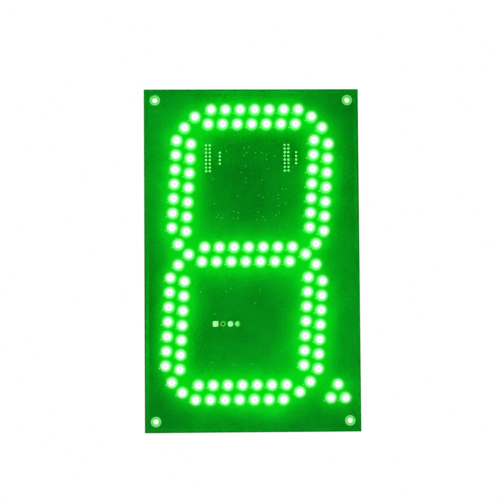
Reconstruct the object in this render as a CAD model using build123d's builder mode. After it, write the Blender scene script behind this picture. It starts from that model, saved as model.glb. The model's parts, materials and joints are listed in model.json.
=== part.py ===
from build123d import *
import os

os.makedirs("parts", exist_ok=True)

# Large slanted seven segment digit: one circuit board that carries 115 round
# 5 mm light emitting diodes, with its connectors and drive parts on the back.
#
# Frame: X to the right and +Z up as the digit is read, the diodes face -Y.
# The origin is the centre of the four corner holes on the board's back face
# (the face that sits on stand-offs), so the board fills y = -BOARD_T .. 0.

# ------------------------------------------------------------- board
BOARD_W = 148.0
BOARD_H = 236.0
BOARD_T = 1.6
BOARD_CORNER_R = 0.5
PLATE_T = 0.05            # tinned copper standing proud of the solder mask

MOUNT_INSET = 7.62        # hole centre to both board edges
MOUNT_HOLE_R = 1.75
MOUNT_PAD_R = 3.6

VIA_HOLE_R = 0.25
VIA_BORE_R = 0.15
VIA_RING_R = 0.38

# ------------------------------------------------------------- diode layout
LED_PITCH = 10.0          # along a row or a column
SLANT = 0.059             # sideways lean of the digit for each unit of height
ROW_DX, ROW_DZ = 1.0, 4.97       # half offset between the two rows of a bar
COL_DX, COL_DZ = 4.875, 1.27     # half offset between the two columns of a bar
TIP = 40.05               # bar centre to the single diode at each pointed end
PER_ROW = 7

BAR_CENTRES = {
    "a": (1.22, 98.12),
    "b": (46.06, 50.60),
    "c": (41.21, -43.60),
    "d": (-8.34, -90.56),
    "e": (-53.04, -43.60),
    "f": (-48.30, 50.60),
    "g": (-3.53, 3.58),
}
HORIZONTAL_BARS = ("a", "d", "g")
POINT_LEDS = [(57.86, -85.50), (52.87, -94.74), (62.90, -94.74)]

# ------------------------------------------------------------- one 5 mm diode
LENS_R = 2.5
LENS_STRAIGHT = 6.2       # board face to the start of the dome
FLANGE_R = 2.95
FLANGE_T = 1.0
LEAD_W = 0.5              # square lead frame
LEAD_HALF = 1.27          # half the 2.54 mm lead spacing
LEAD_TAIL = 1.4           # cropped end beyond the board's back face
LEAD_HOLE_R = 0.45
ANVIL_TOP = 4.4
CUP_TOP_R, CUP_BOTTOM_R, CUP_DEPTH = 0.50, 0.27, 0.30
DIE_W, DIE_T = 0.30, 0.14
POST_TOP = 4.5
WIRE_R = 0.03

# ------------------------------------------------------------- pin hardware
PITCH = 2.54
PIN_W = 0.64
PIN_FRONT = 1.0           # pin tip beyond the board's front face
PIN_HOLE_R = 0.5
SIGNAL_PAD_R = 0.70

IN_HEADER = (-29.96, 70.22)      # centres of the two 2 x 8 headers
OUT_HEADER = (24.22, 70.45)
IN_STRIP = (-21.77, 70.22)       # centres of the two 1 x 4 strips
OUT_STRIP = (30.87, 70.45)

SHROUD_L = 7 * PITCH + 10.16
SHROUD_W = 8.8
SHROUD_H = 9.0
CAVITY_L = 7 * PITCH + 7.66
CAVITY_W = 6.4
SHROUD_FLOOR = 2.5
KEY_W = 4.5

POWER_PITCH = 5.08
POWER_CENTRE = (-17.70, -43.82)
POWER_HOLE_R = 0.85
POWER_PAD_R = 1.9
POWER_PAD_SQ = 3.6
POWER_TAIL_R = 0.65
POWER_PIN_R = 1.05
POWER_L, POWER_W, POWER_H = 22.6, 9.0, 11.0
POWER_WALL, POWER_FLOOR = 1.2, 3.0
POWER_POCKET = 2.2        # depth of the blind hole at the place without a pin

# ------------------------------------------------------------- drive parts
BUFFER_AT = (-10.5, 60.0)
DRIVER_AT = (9.0, 60.0)
REGULATOR_AT = (4.0, -40.0)
CERAMICS = [(-10.5, 70.5), (5.5, 70.3), (4.0, -32.8), (4.0, -47.4)]
CANS = [(-18.0, -60.0), (16.5, -41.0)]
CAN_R, CAN_H, CAN_BASE_T = 4.0, 10.0, 2.2

RESISTORS_FLAT = (
    [(x, 86.5) for x in (-16.0, -8.0, 0.0, 8.0)]            # bar a
    + [(x, -8.8) for x in (-22.0, -12.0, -2.0, 8.0)]        # bar g
    + [(x, -77.6) for x in (-26.0, -16.0, -6.0, 4.0)]       # bar d
    + [(54.0, -77.0)]                                       # decimal point
)
RESISTORS_UPRIGHT = (
    [(-37.3, z) for z in (64.0, 52.0, 40.0, 28.0)]          # bar f
    + [(35.0, z) for z in (64.0, 52.0, 40.0, 28.0)]         # bar b
    + [(-41.6, z) for z in (-28.0, -40.0, -52.0, -64.0)]    # bar e
    + [(29.4, z) for z in (-28.0, -40.0, -52.0, -64.0)]     # bar c
)

VIAS = [
    (-17.3, 75.0), (-5.0, 77.4), (-3.4, 74.0), (-1.7, 77.8), (2.6, 73.9),
    (7.1, 74.0), (10.4, 72.8), (-5.1, 71.9), (10.5, 69.4), (15.8, 71.7),
    (-7.0, 60.2), (-3.9, 64.6), (11.6, 62.9), (-26.6, 56.1), (-3.9, 56.3),
    (7.1, 55.1), (-3.9, 53.5), (21.0, 48.7), (23.6, 48.8), (-9.4, 44.1),
    (4.8, 44.5), (7.9, 43.0), (18.3, 44.7), (18.5, 42.3), (-25.7, 38.8),
    (18.7, 37.3), (23.4, 38.8), (-23.0, 31.0), (-12.4, 33.7), (-9.3, 32.5),
    (4.4, 32.8), (16.6, 30.8), (18.9, 32.5), (-24.3, 29.6), (-20.6, 29.1),
    (-12.6, 28.7), (-9.7, 28.7), (3.4, 27.6), (7.7, 29.7), (9.1, 27.5),
    (-35.5, -21.8), (-17.8, -21.5), (-14.9, -19.6), (5.2, -20.5), (1.9, -29.9),
    (-26.0, -37.0), (-28.2, -70.1), (-13.1, -71.8), (-0.6, -71.5),
]

FRONT = Plane.XZ.offset(BOARD_T)      # local x = X, local y = Z, normal = -Y


def bar_leds(name):
    """Centres of the 16 diodes of one bar: two lines of seven and two tips."""
    cx, cz = BAR_CENTRES[name]
    steps = [LED_PITCH * (i - (PER_ROW - 1) / 2) for i in range(PER_ROW)]
    if name in HORIZONTAL_BARS:
        upper = [(cx + ROW_DX + s, cz + ROW_DZ) for s in steps]
        lower = [(cx - ROW_DX + s, cz - ROW_DZ) for s in steps]
        tips = [(cx - TIP, cz), (cx + TIP, cz)]
        return upper + lower + tips
    left = [(cx - COL_DX + SLANT * s, cz + COL_DZ + s) for s in steps]
    right = [(cx + COL_DX + SLANT * s, cz - COL_DZ + s) for s in steps]
    tips = [(cx - SLANT * TIP, cz - TIP), (cx + SLANT * TIP, cz + TIP)]
    return left + right + tips


LEDS = {"segment_" + name: bar_leds(name) for name in "abcdefg"}
LEDS["decimal_point"] = POINT_LEDS
ALL_LEDS = [p for group in LEDS.values() for p in group]
LEAD_POINTS = [(x + s * LEAD_HALF, z) for x, z in ALL_LEDS for s in (-1, 1)]

MOUNT_X = BOARD_W / 2 - MOUNT_INSET
MOUNT_Z = BOARD_H / 2 - MOUNT_INSET
MOUNT_POINTS = [(sx * MOUNT_X, sz * MOUNT_Z) for sx in (-1, 1) for sz in (-1, 1)]


def grid_points(centre, columns, rows, pitch):
    return [
        (centre[0] + pitch * (c - (columns - 1) / 2),
         centre[1] + pitch * (r - (rows - 1) / 2))
        for c in range(columns) for r in range(rows)
    ]


IN_PINS = grid_points(IN_HEADER, 2, 8, PITCH)
OUT_PINS = grid_points(OUT_HEADER, 2, 8, PITCH)
IN_STRIP_PINS = grid_points(IN_STRIP, 1, 4, PITCH)
OUT_STRIP_PINS = grid_points(OUT_STRIP, 1, 4, PITCH)
SIGNAL_POINTS = IN_PINS + OUT_PINS + IN_STRIP_PINS + OUT_STRIP_PINS
POWER_POINTS = grid_points(POWER_CENTRE, 4, 1, POWER_PITCH)
POWER_LOADED = [POWER_POINTS[0], POWER_POINTS[2], POWER_POINTS[3]]

# ============================================================ circuit board
with BuildPart() as circuit_board:
    with BuildSketch(Plane.XZ):
        RectangleRounded(BOARD_W, BOARD_H, BOARD_CORNER_R)
        with Locations(*MOUNT_POINTS):
            Circle(MOUNT_HOLE_R, mode=Mode.SUBTRACT)
        with Locations(*LEAD_POINTS):
            Circle(LEAD_HOLE_R, mode=Mode.SUBTRACT)
        with Locations(*SIGNAL_POINTS):
            Circle(PIN_HOLE_R, mode=Mode.SUBTRACT)
        with Locations(*POWER_POINTS):
            Circle(POWER_HOLE_R, mode=Mode.SUBTRACT)
        with Locations(*VIAS):
            Circle(VIA_HOLE_R, mode=Mode.SUBTRACT)
    extrude(amount=BOARD_T)

# Tinned rings round the corner holes, on both faces.
with BuildPart() as mounting_pads:
    with BuildSketch(FRONT):
        with Locations(*MOUNT_POINTS):
            Circle(MOUNT_PAD_R)
        with Locations(*MOUNT_POINTS):
            Circle(MOUNT_HOLE_R, mode=Mode.SUBTRACT)
    extrude(amount=PLATE_T)
    with BuildSketch(Plane.XZ):
        with Locations(*MOUNT_POINTS):
            Circle(MOUNT_PAD_R)
        with Locations(*MOUNT_POINTS):
            Circle(MOUNT_HOLE_R, mode=Mode.SUBTRACT)
    extrude(amount=-PLATE_T)

# Plated vias: a barrel through the board with a ring on the front face.
with BuildPart() as via_unit:
    with BuildSketch(Plane.XZ) as via_section:
        with BuildLine():
            Polyline(
                (VIA_BORE_R, -BOARD_T), (VIA_HOLE_R, -BOARD_T), (VIA_HOLE_R, 0),
                (VIA_RING_R, 0), (VIA_RING_R, PLATE_T), (VIA_BORE_R, PLATE_T),
                close=True,
            )
        make_face()
    revolve(axis=Axis.Z)

with BuildPart(FRONT) as plated_vias:
    with Locations(*VIAS):
        add(via_unit.part)

# ============================================================ diode pieces
# One diode stands on XY with its leads below; z = 0 is the board's front face.
with BuildPart() as cathode_unit:
    with BuildSketch(Plane.XY.offset(-BOARD_T - LEAD_TAIL)):
        with Locations((-LEAD_HALF, 0)):
            Rectangle(LEAD_W, LEAD_W)
    extrude(amount=BOARD_T + LEAD_TAIL + 3.0)
    with BuildSketch(Plane.XZ):
        with BuildLine():
            Polyline(
                (-LEAD_HALF - LEAD_W / 2, 2.6), (-LEAD_HALF + LEAD_W / 2, 2.6),
                (-0.35, 3.15), (0.58, 3.75), (0.58, ANVIL_TOP),
                (-LEAD_HALF - LEAD_W / 2, ANVIL_TOP), close=True,
            )
        make_face()
    extrude(amount=LEAD_W / 2, both=True)
    with BuildSketch(Plane.XY.offset(3.85)):
        Circle(0.60)
    extrude(amount=ANVIL_TOP - 3.85)
    with BuildSketch(Plane.XZ):
        with BuildLine():
            Polyline(
                (0, ANVIL_TOP - CUP_DEPTH), (CUP_BOTTOM_R, ANVIL_TOP - CUP_DEPTH),
                (CUP_TOP_R, ANVIL_TOP), (0, ANVIL_TOP), close=True,
            )
        make_face()
    revolve(axis=Axis.Z, mode=Mode.SUBTRACT)

with BuildPart() as anode_unit:
    with BuildSketch(Plane.XY.offset(-BOARD_T - LEAD_TAIL)):
        with Locations((LEAD_HALF, 0)):
            Rectangle(LEAD_W, LEAD_W)
    extrude(amount=BOARD_T + LEAD_TAIL + 3.0)
    with BuildSketch(Plane.XZ):
        with BuildLine():
            Polyline(
                (LEAD_HALF - LEAD_W / 2, 2.8), (LEAD_HALF + LEAD_W / 2, 2.8),
                (LEAD_HALF + LEAD_W / 2, POST_TOP), (0.88, POST_TOP),
                (0.88, 3.9), close=True,
            )
        make_face()
    extrude(amount=LEAD_W / 2, both=True)

DIE_BASE = ANVIL_TOP - CUP_DEPTH
with BuildPart() as die_unit:
    with BuildSketch(Plane.XY.offset(DIE_BASE)):
        Rectangle(DIE_W, DIE_W)
    extrude(amount=DIE_T)

WIRE_END = 1.20
with BuildPart() as wire_unit:
    # rises from the crystal, kinks over and comes down on the post
    with BuildLine(Plane.XZ):
        Polyline(
            (0, DIE_BASE + DIE_T), (0, POST_TOP + 0.12), (0.36, POST_TOP + 0.56),
            (0.78, POST_TOP + 0.56), (WIRE_END, POST_TOP),
        )
    with BuildSketch(Plane.XY.offset(DIE_BASE + DIE_T)):
        Circle(WIRE_R)
    sweep(transition=Transition.RIGHT)

with BuildPart() as lens_unit:
    with BuildSketch(Plane.XZ):
        with BuildLine():
            Polyline(
                (0, LENS_STRAIGHT + LENS_R), (0, 0), (FLANGE_R, 0),
                (FLANGE_R, FLANGE_T), (LENS_R, FLANGE_T), (LENS_R, LENS_STRAIGHT),
            )
            RadiusArc((LENS_R, LENS_STRAIGHT), (0, LENS_STRAIGHT + LENS_R), -LENS_R)
        make_face()
    revolve(axis=Axis.Z)
    # the flat on the flange marks the cathode side
    with BuildSketch(Plane.XY):
        with Locations((-LENS_R - 0.5, 0)):
            Rectangle(1.0, 2 * FLANGE_R + 1)
    extrude(amount=FLANGE_T, mode=Mode.SUBTRACT)
    add(cathode_unit.part, mode=Mode.SUBTRACT)
    add(anode_unit.part, mode=Mode.SUBTRACT)
    add(die_unit.part, mode=Mode.SUBTRACT)
    add(wire_unit.part, mode=Mode.SUBTRACT)

# Solder on the back: fills the lead hole and rises as a hollow-sided cone.
with BuildPart() as led_joint_unit:
    with BuildSketch(Plane.XZ):
        with BuildLine():
            Polyline((0, 0), (LEAD_HOLE_R - 0.01, 0), (LEAD_HOLE_R - 0.01, -BOARD_T),
                     (0.95, -BOARD_T), (0.95, -BOARD_T - 0.06))
            ThreePointArc((0.95, -BOARD_T - 0.06), (0.60, -BOARD_T - 0.42), (0.42, -BOARD_T - 1.0))
            Polyline((0.42, -BOARD_T - 1.0), (0, -BOARD_T - 1.0), (0, 0))
        make_face()
    revolve(axis=Axis.Z)
    with BuildSketch(Plane.XY):
        Rectangle(LEAD_W, LEAD_W)
    extrude(amount=-BOARD_T - 2, mode=Mode.SUBTRACT)

lens_groups = {}
lead_groups = {}
for group, points in LEDS.items():
    with BuildPart(FRONT) as lenses:
        with Locations(*points):
            add(lens_unit.part, clean=False)
    lens_groups[group] = lenses.part
    with BuildPart(FRONT) as leads:
        with Locations(*points):
            add(cathode_unit.part, clean=False)
            add(anode_unit.part, clean=False)
    lead_groups[group] = leads.part

with BuildPart(FRONT) as led_dies:
    with Locations(*ALL_LEDS):
        add(die_unit.part, clean=False)

with BuildPart(FRONT) as bond_wires:
    with Locations(*ALL_LEDS):
        add(wire_unit.part, clean=False)

with BuildPart(FRONT) as cathode_solder_joints:
    with Locations(*LEAD_POINTS[0::2]):
        add(led_joint_unit.part, clean=False)

with BuildPart(FRONT) as anode_solder_joints:
    with Locations(*LEAD_POINTS[1::2]):
        add(led_joint_unit.part, clean=False)

# ============================================================ signal headers
def header_pin(back_length):
    """Square pin with pointed ends, along Y from the front tip to the back."""
    with BuildPart() as pin:
        with BuildSketch(Plane.XZ.offset(BOARD_T + PIN_FRONT)):
            Rectangle(PIN_W, PIN_W)
        extrude(amount=-(BOARD_T + PIN_FRONT + back_length))
        ends = pin.faces().sort_by(Axis.Y)
        chamfer(ends[0].edges() + ends[-1].edges(), length=0.17)
    return pin.part


SHROUD_PIN = header_pin(8.2)
STRIP_PIN = header_pin(8.4)


def shrouded_header(centre, pins, key_side):
    """Moulded box with an open cavity, a key slot in one long wall and pin holes."""
    cx, cz = centre
    with BuildPart() as shell:
        with BuildSketch(Plane.XZ):
            with Locations((cx, cz)):
                RectangleRounded(SHROUD_W, SHROUD_L, 0.5)
        extrude(amount=-SHROUD_H)
        with BuildSketch(Plane.XZ.offset(-SHROUD_FLOOR)):
            with Locations((cx, cz)):
                Rectangle(CAVITY_W, CAVITY_L)
        extrude(amount=-(SHROUD_H - SHROUD_FLOOR), mode=Mode.SUBTRACT)
        mouth = shell.faces().filter_by(Axis.Y).sort_by(Axis.Y)[-1]
        chamfer(mouth.inner_wires()[0].edges(), length=0.35)
        # key slot
        with BuildSketch(Plane.XZ.offset(-3.4)):
            with Locations((cx + key_side * (SHROUD_W + CAVITY_W) / 4, cz)):
                Rectangle(SHROUD_W / 2 - CAVITY_W / 2 + 0.8, KEY_W)
        extrude(amount=-(SHROUD_H - 3.4), mode=Mode.SUBTRACT)
        # finger notches in the short walls
        with BuildSketch(Plane.XZ.offset(-7.6)):
            with Locations((cx, cz + SHROUD_L / 2), (cx, cz - SHROUD_L / 2)):
                Rectangle(3.2, 4.0)
        extrude(amount=-(SHROUD_H - 7.6), mode=Mode.SUBTRACT)
        with BuildSketch(Plane.XZ):
            with Locations(*pins):
                Rectangle(PIN_W, PIN_W)
        extrude(amount=-SHROUD_FLOOR, mode=Mode.SUBTRACT)
    return shell.part


def strip_base(centre, pins):
    """Break-apart strip: one chamfered square for each pin, joined in a row."""
    with BuildPart() as base:
        with BuildSketch(Plane.XZ):
            for x, z in pins:
                h, c = PITCH / 2, 0.5
                with BuildLine():
                    Polyline(
                        (x - h + c, z - h), (x + h - c, z - h), (x + h, z - h + c),
                        (x + h, z + h - c), (x + h - c, z + h), (x - h + c, z + h),
                        (x - h, z + h - c), (x - h, z - h + c), close=True,
                    )
                make_face()
            with Locations(*pins):
                Rectangle(PIN_W, PIN_W, mode=Mode.SUBTRACT)
        extrude(amount=-PITCH)
    return base.part


def pin_group(pins, unit):
    with BuildPart() as group:
        with Locations(*[(x, 0, z) for x, z in pins]):
            add(unit)
    return group.part


input_header_shell = shrouded_header(IN_HEADER, IN_PINS, -1)
output_header_shell = shrouded_header(OUT_HEADER, OUT_PINS, -1)
input_header_pins = pin_group(IN_PINS, SHROUD_PIN)
output_header_pins = pin_group(OUT_PINS, SHROUD_PIN)
input_strip_base = strip_base(IN_STRIP, IN_STRIP_PINS)
output_strip_base = strip_base(OUT_STRIP, OUT_STRIP_PINS)
input_strip_pins = pin_group(IN_STRIP_PINS, STRIP_PIN)
output_strip_pins = pin_group(OUT_STRIP_PINS, STRIP_PIN)

# Solder on the front face round every signal pin.
with BuildPart() as signal_joint_unit:
    with BuildSketch(Plane.XZ):
        with BuildLine():
            Polyline((0, -BOARD_T), (PIN_HOLE_R - 0.01, -BOARD_T), (PIN_HOLE_R - 0.01, 0),
                     (SIGNAL_PAD_R, 0), (SIGNAL_PAD_R, 0.06))
            ThreePointArc((SIGNAL_PAD_R, 0.06), (0.57, 0.32), (0.49, 0.74))
            Polyline((0.49, 0.74), (0, 0.74), (0, -BOARD_T))
        make_face()
    revolve(axis=Axis.Z)
    with BuildSketch(Plane.XY.offset(-BOARD_T)):
        Rectangle(PIN_W, PIN_W)
    extrude(amount=BOARD_T + 1, mode=Mode.SUBTRACT)

with BuildPart(FRONT) as signal_solder_joints:
    with Locations(*SIGNAL_POINTS):
        add(signal_joint_unit.part, clean=False)

# ============================================================ power connector
# Shroud with two bevelled corners and four places for round pins; at the second
# place, which has no pin, the floor has only a blind pocket behind the board's hole.
with BuildPart() as power_connector_shell:
    px, pz = POWER_CENTRE
    with BuildSketch(Plane.XZ):
        hl, hw, c = POWER_L / 2, POWER_W / 2, 2.4
        with BuildLine():
            Polyline(
                (px - hl, pz - hw), (px + hl, pz - hw), (px + hl, pz + hw - c),
                (px + hl - c, pz + hw), (px - hl + c, pz + hw),
                (px - hl, pz + hw - c), close=True,
            )
        make_face()
    extrude(amount=-POWER_H)
    with BuildSketch(Plane.XZ.offset(-POWER_FLOOR)):
        hl, hw, c = POWER_L / 2 - POWER_WALL, POWER_W / 2 - POWER_WALL, 1.9
        with BuildLine():
            Polyline(
                (px - hl, pz - hw), (px + hl, pz - hw), (px + hl, pz + hw - c),
                (px + hl - c, pz + hw), (px - hl + c, pz + hw),
                (px - hl, pz + hw - c), close=True,
            )
        make_face()
    extrude(amount=-(POWER_H - POWER_FLOOR), mode=Mode.SUBTRACT)
    rim = power_connector_shell.faces().filter_by(Axis.Y).sort_by(Axis.Y)[-1]
    chamfer(rim.inner_wires()[0].edges(), length=0.4)
    chamfer(rim.outer_wire().edges(), length=0.25)
    with BuildSketch(Plane.XZ):
        with Locations(*POWER_LOADED):
            Circle(POWER_TAIL_R)
    extrude(amount=-POWER_FLOOR, mode=Mode.SUBTRACT)
    with BuildSketch(Plane.XZ):
        with Locations(POWER_POINTS[1]):
            Circle(POWER_HOLE_R)
    extrude(amount=-POWER_POCKET, mode=Mode.SUBTRACT)

with BuildPart() as power_pin_unit:
    with BuildSketch(Plane.XY):
        with BuildLine():
            y0, y1 = -BOARD_T - 1.3, 9.6
            Polyline((0, y1), (0, y0), (POWER_TAIL_R - 0.15, y0), (POWER_TAIL_R, y0 + 0.15),
                     (POWER_TAIL_R, POWER_FLOOR), (POWER_PIN_R, POWER_FLOOR),
                     (POWER_PIN_R, y1 - 1.0))
            ThreePointArc((POWER_PIN_R, y1 - 1.0), (0.80, y1 - 0.35), (0.35, y1))
            Line((0.35, y1), (0, y1))
        make_face()
    revolve(axis=Axis.Y)

power_connector_pins = pin_group(POWER_LOADED, power_pin_unit.part)

# Front pads: the first is square, the others round.
with BuildPart() as power_pads:
    with BuildSketch(FRONT):
        with Locations(POWER_POINTS[0]):
            Rectangle(POWER_PAD_SQ, POWER_PAD_SQ)
        with Locations(*POWER_POINTS[1:]):
            Circle(POWER_PAD_R)
        with Locations(*POWER_POINTS):
            Circle(POWER_HOLE_R, mode=Mode.SUBTRACT)
    extrude(amount=PLATE_T)

with BuildPart() as power_joint_unit:
    with BuildSketch(Plane.XZ):
        with BuildLine():
            Polyline((0, -BOARD_T), (POWER_HOLE_R - 0.01, -BOARD_T), (POWER_HOLE_R - 0.01, PLATE_T),
                     (1.72, PLATE_T), (1.72, PLATE_T + 0.07))
            ThreePointArc((1.72, PLATE_T + 0.07), (1.15, 0.38), (0.78, 1.0))
            Polyline((0.78, 1.0), (0, 1.0), (0, -BOARD_T))
        make_face()
    revolve(axis=Axis.Z)
    with BuildSketch(Plane.XY.offset(-BOARD_T)):
        Circle(POWER_TAIL_R)
    extrude(amount=BOARD_T + 2, mode=Mode.SUBTRACT)

with BuildPart(FRONT) as power_solder_joints:
    with Locations(*POWER_LOADED):
        add(power_joint_unit.part)

# ============================================================ drive chips
CHIP_PINS = 10
CHIP_LEAD_PITCH = 1.27
CHIP_HALF_W = 3.75
CHIP_HALF_L = 6.4


def chip_body(centre):
    """Moulded body with drafted faces above and below the lead plane."""
    with BuildPart() as body:
        for y, hw, hl in ((0.15, 3.60, 6.25), (1.15, CHIP_HALF_W, CHIP_HALF_L),
                          (1.40, CHIP_HALF_W, CHIP_HALF_L), (2.45, 3.55, 6.20)):
            with BuildSketch(Plane.XZ.offset(-y)):
                with Locations(centre):
                    Rectangle(2 * hw, 2 * hl)
        loft(ruled=True)
        # first-pin dimple
        with BuildSketch(Plane.XZ.offset(-2.35)):
            with Locations((centre[0] + 2.5, centre[1] + 5.1)):
                Circle(0.6)
        extrude(amount=-0.2, mode=Mode.SUBTRACT)
        # half-round index notch at the upper end
        with BuildSketch(Plane.XZ.offset(-1.95)):
            with Locations((centre[0], centre[1] + 6.35)):
                Circle(0.75)
        extrude(amount=-0.7, mode=Mode.SUBTRACT)
    return body.part


with BuildPart() as chip_lead_unit:
    with BuildSketch(Plane.XY):
        with BuildLine():
            Polyline(
                (5.15, 0.05), (4.40, 0.05), (4.10, 1.15), (CHIP_HALF_W, 1.15),
                (CHIP_HALF_W, 1.40), (4.30, 1.40), (4.58, 0.30), (5.15, 0.30),
                close=True,
            )
        make_face()
    extrude(amount=0.21, both=True)


def chip_leads(centre):
    rows = [CHIP_LEAD_PITCH * (i - (CHIP_PINS - 1) / 2) for i in range(CHIP_PINS)]
    with BuildPart() as leads:
        with Locations(*[(centre[0], 0, centre[1] + r) for r in rows]):
            add(chip_lead_unit.part)
        with Locations(*[(centre[0], 0, centre[1] + r) for r in rows]):
            add(chip_lead_unit.part, rotation=(0, 180, 0))
    return leads.part


def chip_pads(centre):
    rows = [CHIP_LEAD_PITCH * (i - (CHIP_PINS - 1) / 2) for i in range(CHIP_PINS)]
    return [(centre[0] + s * 4.70, centre[1] + r) for s in (-1, 1) for r in rows]


# Voltage regulator: flat body, three leads below and a wide tab above.
with BuildPart() as regulator_body:
    rx, rz = REGULATOR_AT
    for y, hw, hl in ((0.10, 3.15, 1.65), (0.75, 3.25, 1.75), (1.00, 3.25, 1.75), (1.70, 3.10, 1.60)):
        with BuildSketch(Plane.XZ.offset(-y)):
            with Locations((rx, rz)):
                Rectangle(2 * hw, 2 * hl)
    loft(ruled=True)

with BuildPart() as regulator_leads:
    with BuildSketch(Plane.YZ.offset(rx)) as lead_side:
        with BuildLine():
            Polyline(
                (0.05, rz - 3.50), (0.05, rz - 2.55), (0.75, rz - 2.25), (0.75, rz - 1.75),
                (1.00, rz - 1.75), (1.00, rz - 2.45), (0.30, rz - 2.75), (0.30, rz - 3.50),
                close=True,
            )
        make_face()
    extrude(amount=0.35, both=True)
    with Locations((-2.3, 0, 0), (2.3, 0, 0)):
        add(regulator_leads.part)
    with BuildSketch(Plane.YZ.offset(rx)):
        with BuildLine():
            Polyline(
                (0.05, rz + 3.50), (0.05, rz + 2.55), (0.75, rz + 2.25), (0.75, rz + 1.75),
                (1.00, rz + 1.75), (1.00, rz + 2.45), (0.30, rz + 2.75), (0.30, rz + 3.50),
                close=True,
            )
        make_face()
    extrude(amount=1.5, both=True)

# ============================================================ resistors
with BuildPart() as resistor_unit:
    with BuildSketch(Plane.XZ.offset(-0.08)):
        Rectangle(2.2, 1.6)
    extrude(amount=-0.52)

with BuildPart() as resistor_end_unit:
    with BuildSketch(Plane.XZ.offset(-0.05)):
        with Locations((-1.35, 0), (1.35, 0)):
            Rectangle(0.5, 1.64)
    extrude(amount=-0.58)

flat_at = [(x, 0, z) for x, z in RESISTORS_FLAT]
upright_at = [(x, 0, z) for x, z in RESISTORS_UPRIGHT]

with BuildPart() as resistor_bodies:
    with Locations(*flat_at):
        add(resistor_unit.part)
    with Locations(*upright_at):
        add(resistor_unit.part, rotation=(0, 90, 0))

with BuildPart() as resistor_terminals:
    with Locations(*flat_at):
        add(resistor_end_unit.part)
    with Locations(*upright_at):
        add(resistor_end_unit.part, rotation=(0, 90, 0))

# ============================================================ capacitors
with BuildPart() as ceramic_capacitor_bodies:
    with BuildSketch(Plane.XZ.offset(-0.07)):
        with Locations(*CERAMICS):
            Rectangle(1.2, 1.25)
    extrude(amount=-0.86)

with BuildPart() as ceramic_capacitor_terminals:
    with BuildSketch(Plane.XZ.offset(-0.05)):
        for x, z in CERAMICS:
            with Locations((x - 0.8, z), (x + 0.8, z)):
                Rectangle(0.4, 1.29)
    extrude(amount=-0.90)

with BuildPart() as electrolytic_can_unit:
    with BuildSketch(Plane.XY):
        with BuildLine():
            y0, y1 = CAN_BASE_T, CAN_H
            Polyline((0, y1 - 0.25), (0, y0), (CAN_R - 0.5, y0), (CAN_R - 0.1, y0 + 0.5))
            # rolled groove above the base
            ThreePointArc((CAN_R - 0.1, y0 + 0.5), (CAN_R - 0.45, y0 + 1.0), (CAN_R, y0 + 1.5))
            Line((CAN_R, y0 + 1.5), (CAN_R, y1 - 0.5))
            ThreePointArc((CAN_R, y1 - 0.5), (CAN_R - 0.15, y1 - 0.15), (CAN_R - 0.5, y1))
            Polyline((CAN_R - 0.5, y1), (CAN_R - 0.9, y1), (CAN_R - 1.0, y1 - 0.25), (0, y1 - 0.25))
        make_face()
    revolve(axis=Axis.Y)

with BuildPart() as electrolytic_capacitor_cans:
    with Locations(*[(x, 0, z) for x, z in CANS]):
        add(electrolytic_can_unit.part)

with BuildPart() as electrolytic_base_unit:
    # two corners on the positive side are cut off
    with BuildSketch(Plane.XZ.offset(-0.30)):
        with BuildLine():
            Polyline((-4.15, -4.15), (2.75, -4.15), (4.15, -2.75), (4.15, 2.75),
                     (2.75, 4.15), (-4.15, 4.15), close=True)
        make_face()
    extrude(amount=-(CAN_BASE_T + 0.7 - 0.30))
    with BuildSketch(Plane.XZ.offset(-CAN_BASE_T)):
        Circle(CAN_R + 0.02)
    extrude(amount=-1.5, mode=Mode.SUBTRACT)

with BuildPart() as electrolytic_capacitor_bases:
    with Locations(*[(x, 0, z) for x, z in CANS]):
        add(electrolytic_base_unit.part)

with BuildPart() as electrolytic_capacitor_terminals:
    with BuildSketch(Plane.XZ.offset(-0.05)):
        for x, z in CANS:
            with Locations((x - 3.15, z), (x + 3.15, z)):
                Rectangle(3.5, 0.75)
    extrude(amount=-0.25)

# ============================================================ flat pads
# Tinned pads under every surface part on the back face.
with BuildPart() as surface_pads:
    with BuildSketch(Plane.XZ):
        with Locations(*(chip_pads(BUFFER_AT) + chip_pads(DRIVER_AT))):
            Rectangle(1.5, 0.62)
        with Locations(*[(x + s * 1.45, z) for x, z in RESISTORS_FLAT for s in (-1, 1)]):
            Rectangle(1.2, 1.8)
        with Locations(*[(x, z + s * 1.45) for x, z in RESISTORS_UPRIGHT for s in (-1, 1)]):
            Rectangle(1.8, 1.2)
        with Locations(*[(x + s * 1.0, z) for x, z in CERAMICS for s in (-1, 1)]):
            Rectangle(1.1, 1.4)
        with Locations(*[(x + s * 3.55, z) for x, z in CANS for s in (-1, 1)]):
            Rectangle(3.2, 1.5)
        with Locations(*[(rx + d, rz - 3.15) for d in (-2.3, 0, 2.3)]):
            Rectangle(1.1, 1.5)
        with Locations((rx, rz + 3.15)):
            Rectangle(3.4, 1.5)
    extrude(amount=-PLATE_T)

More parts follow.
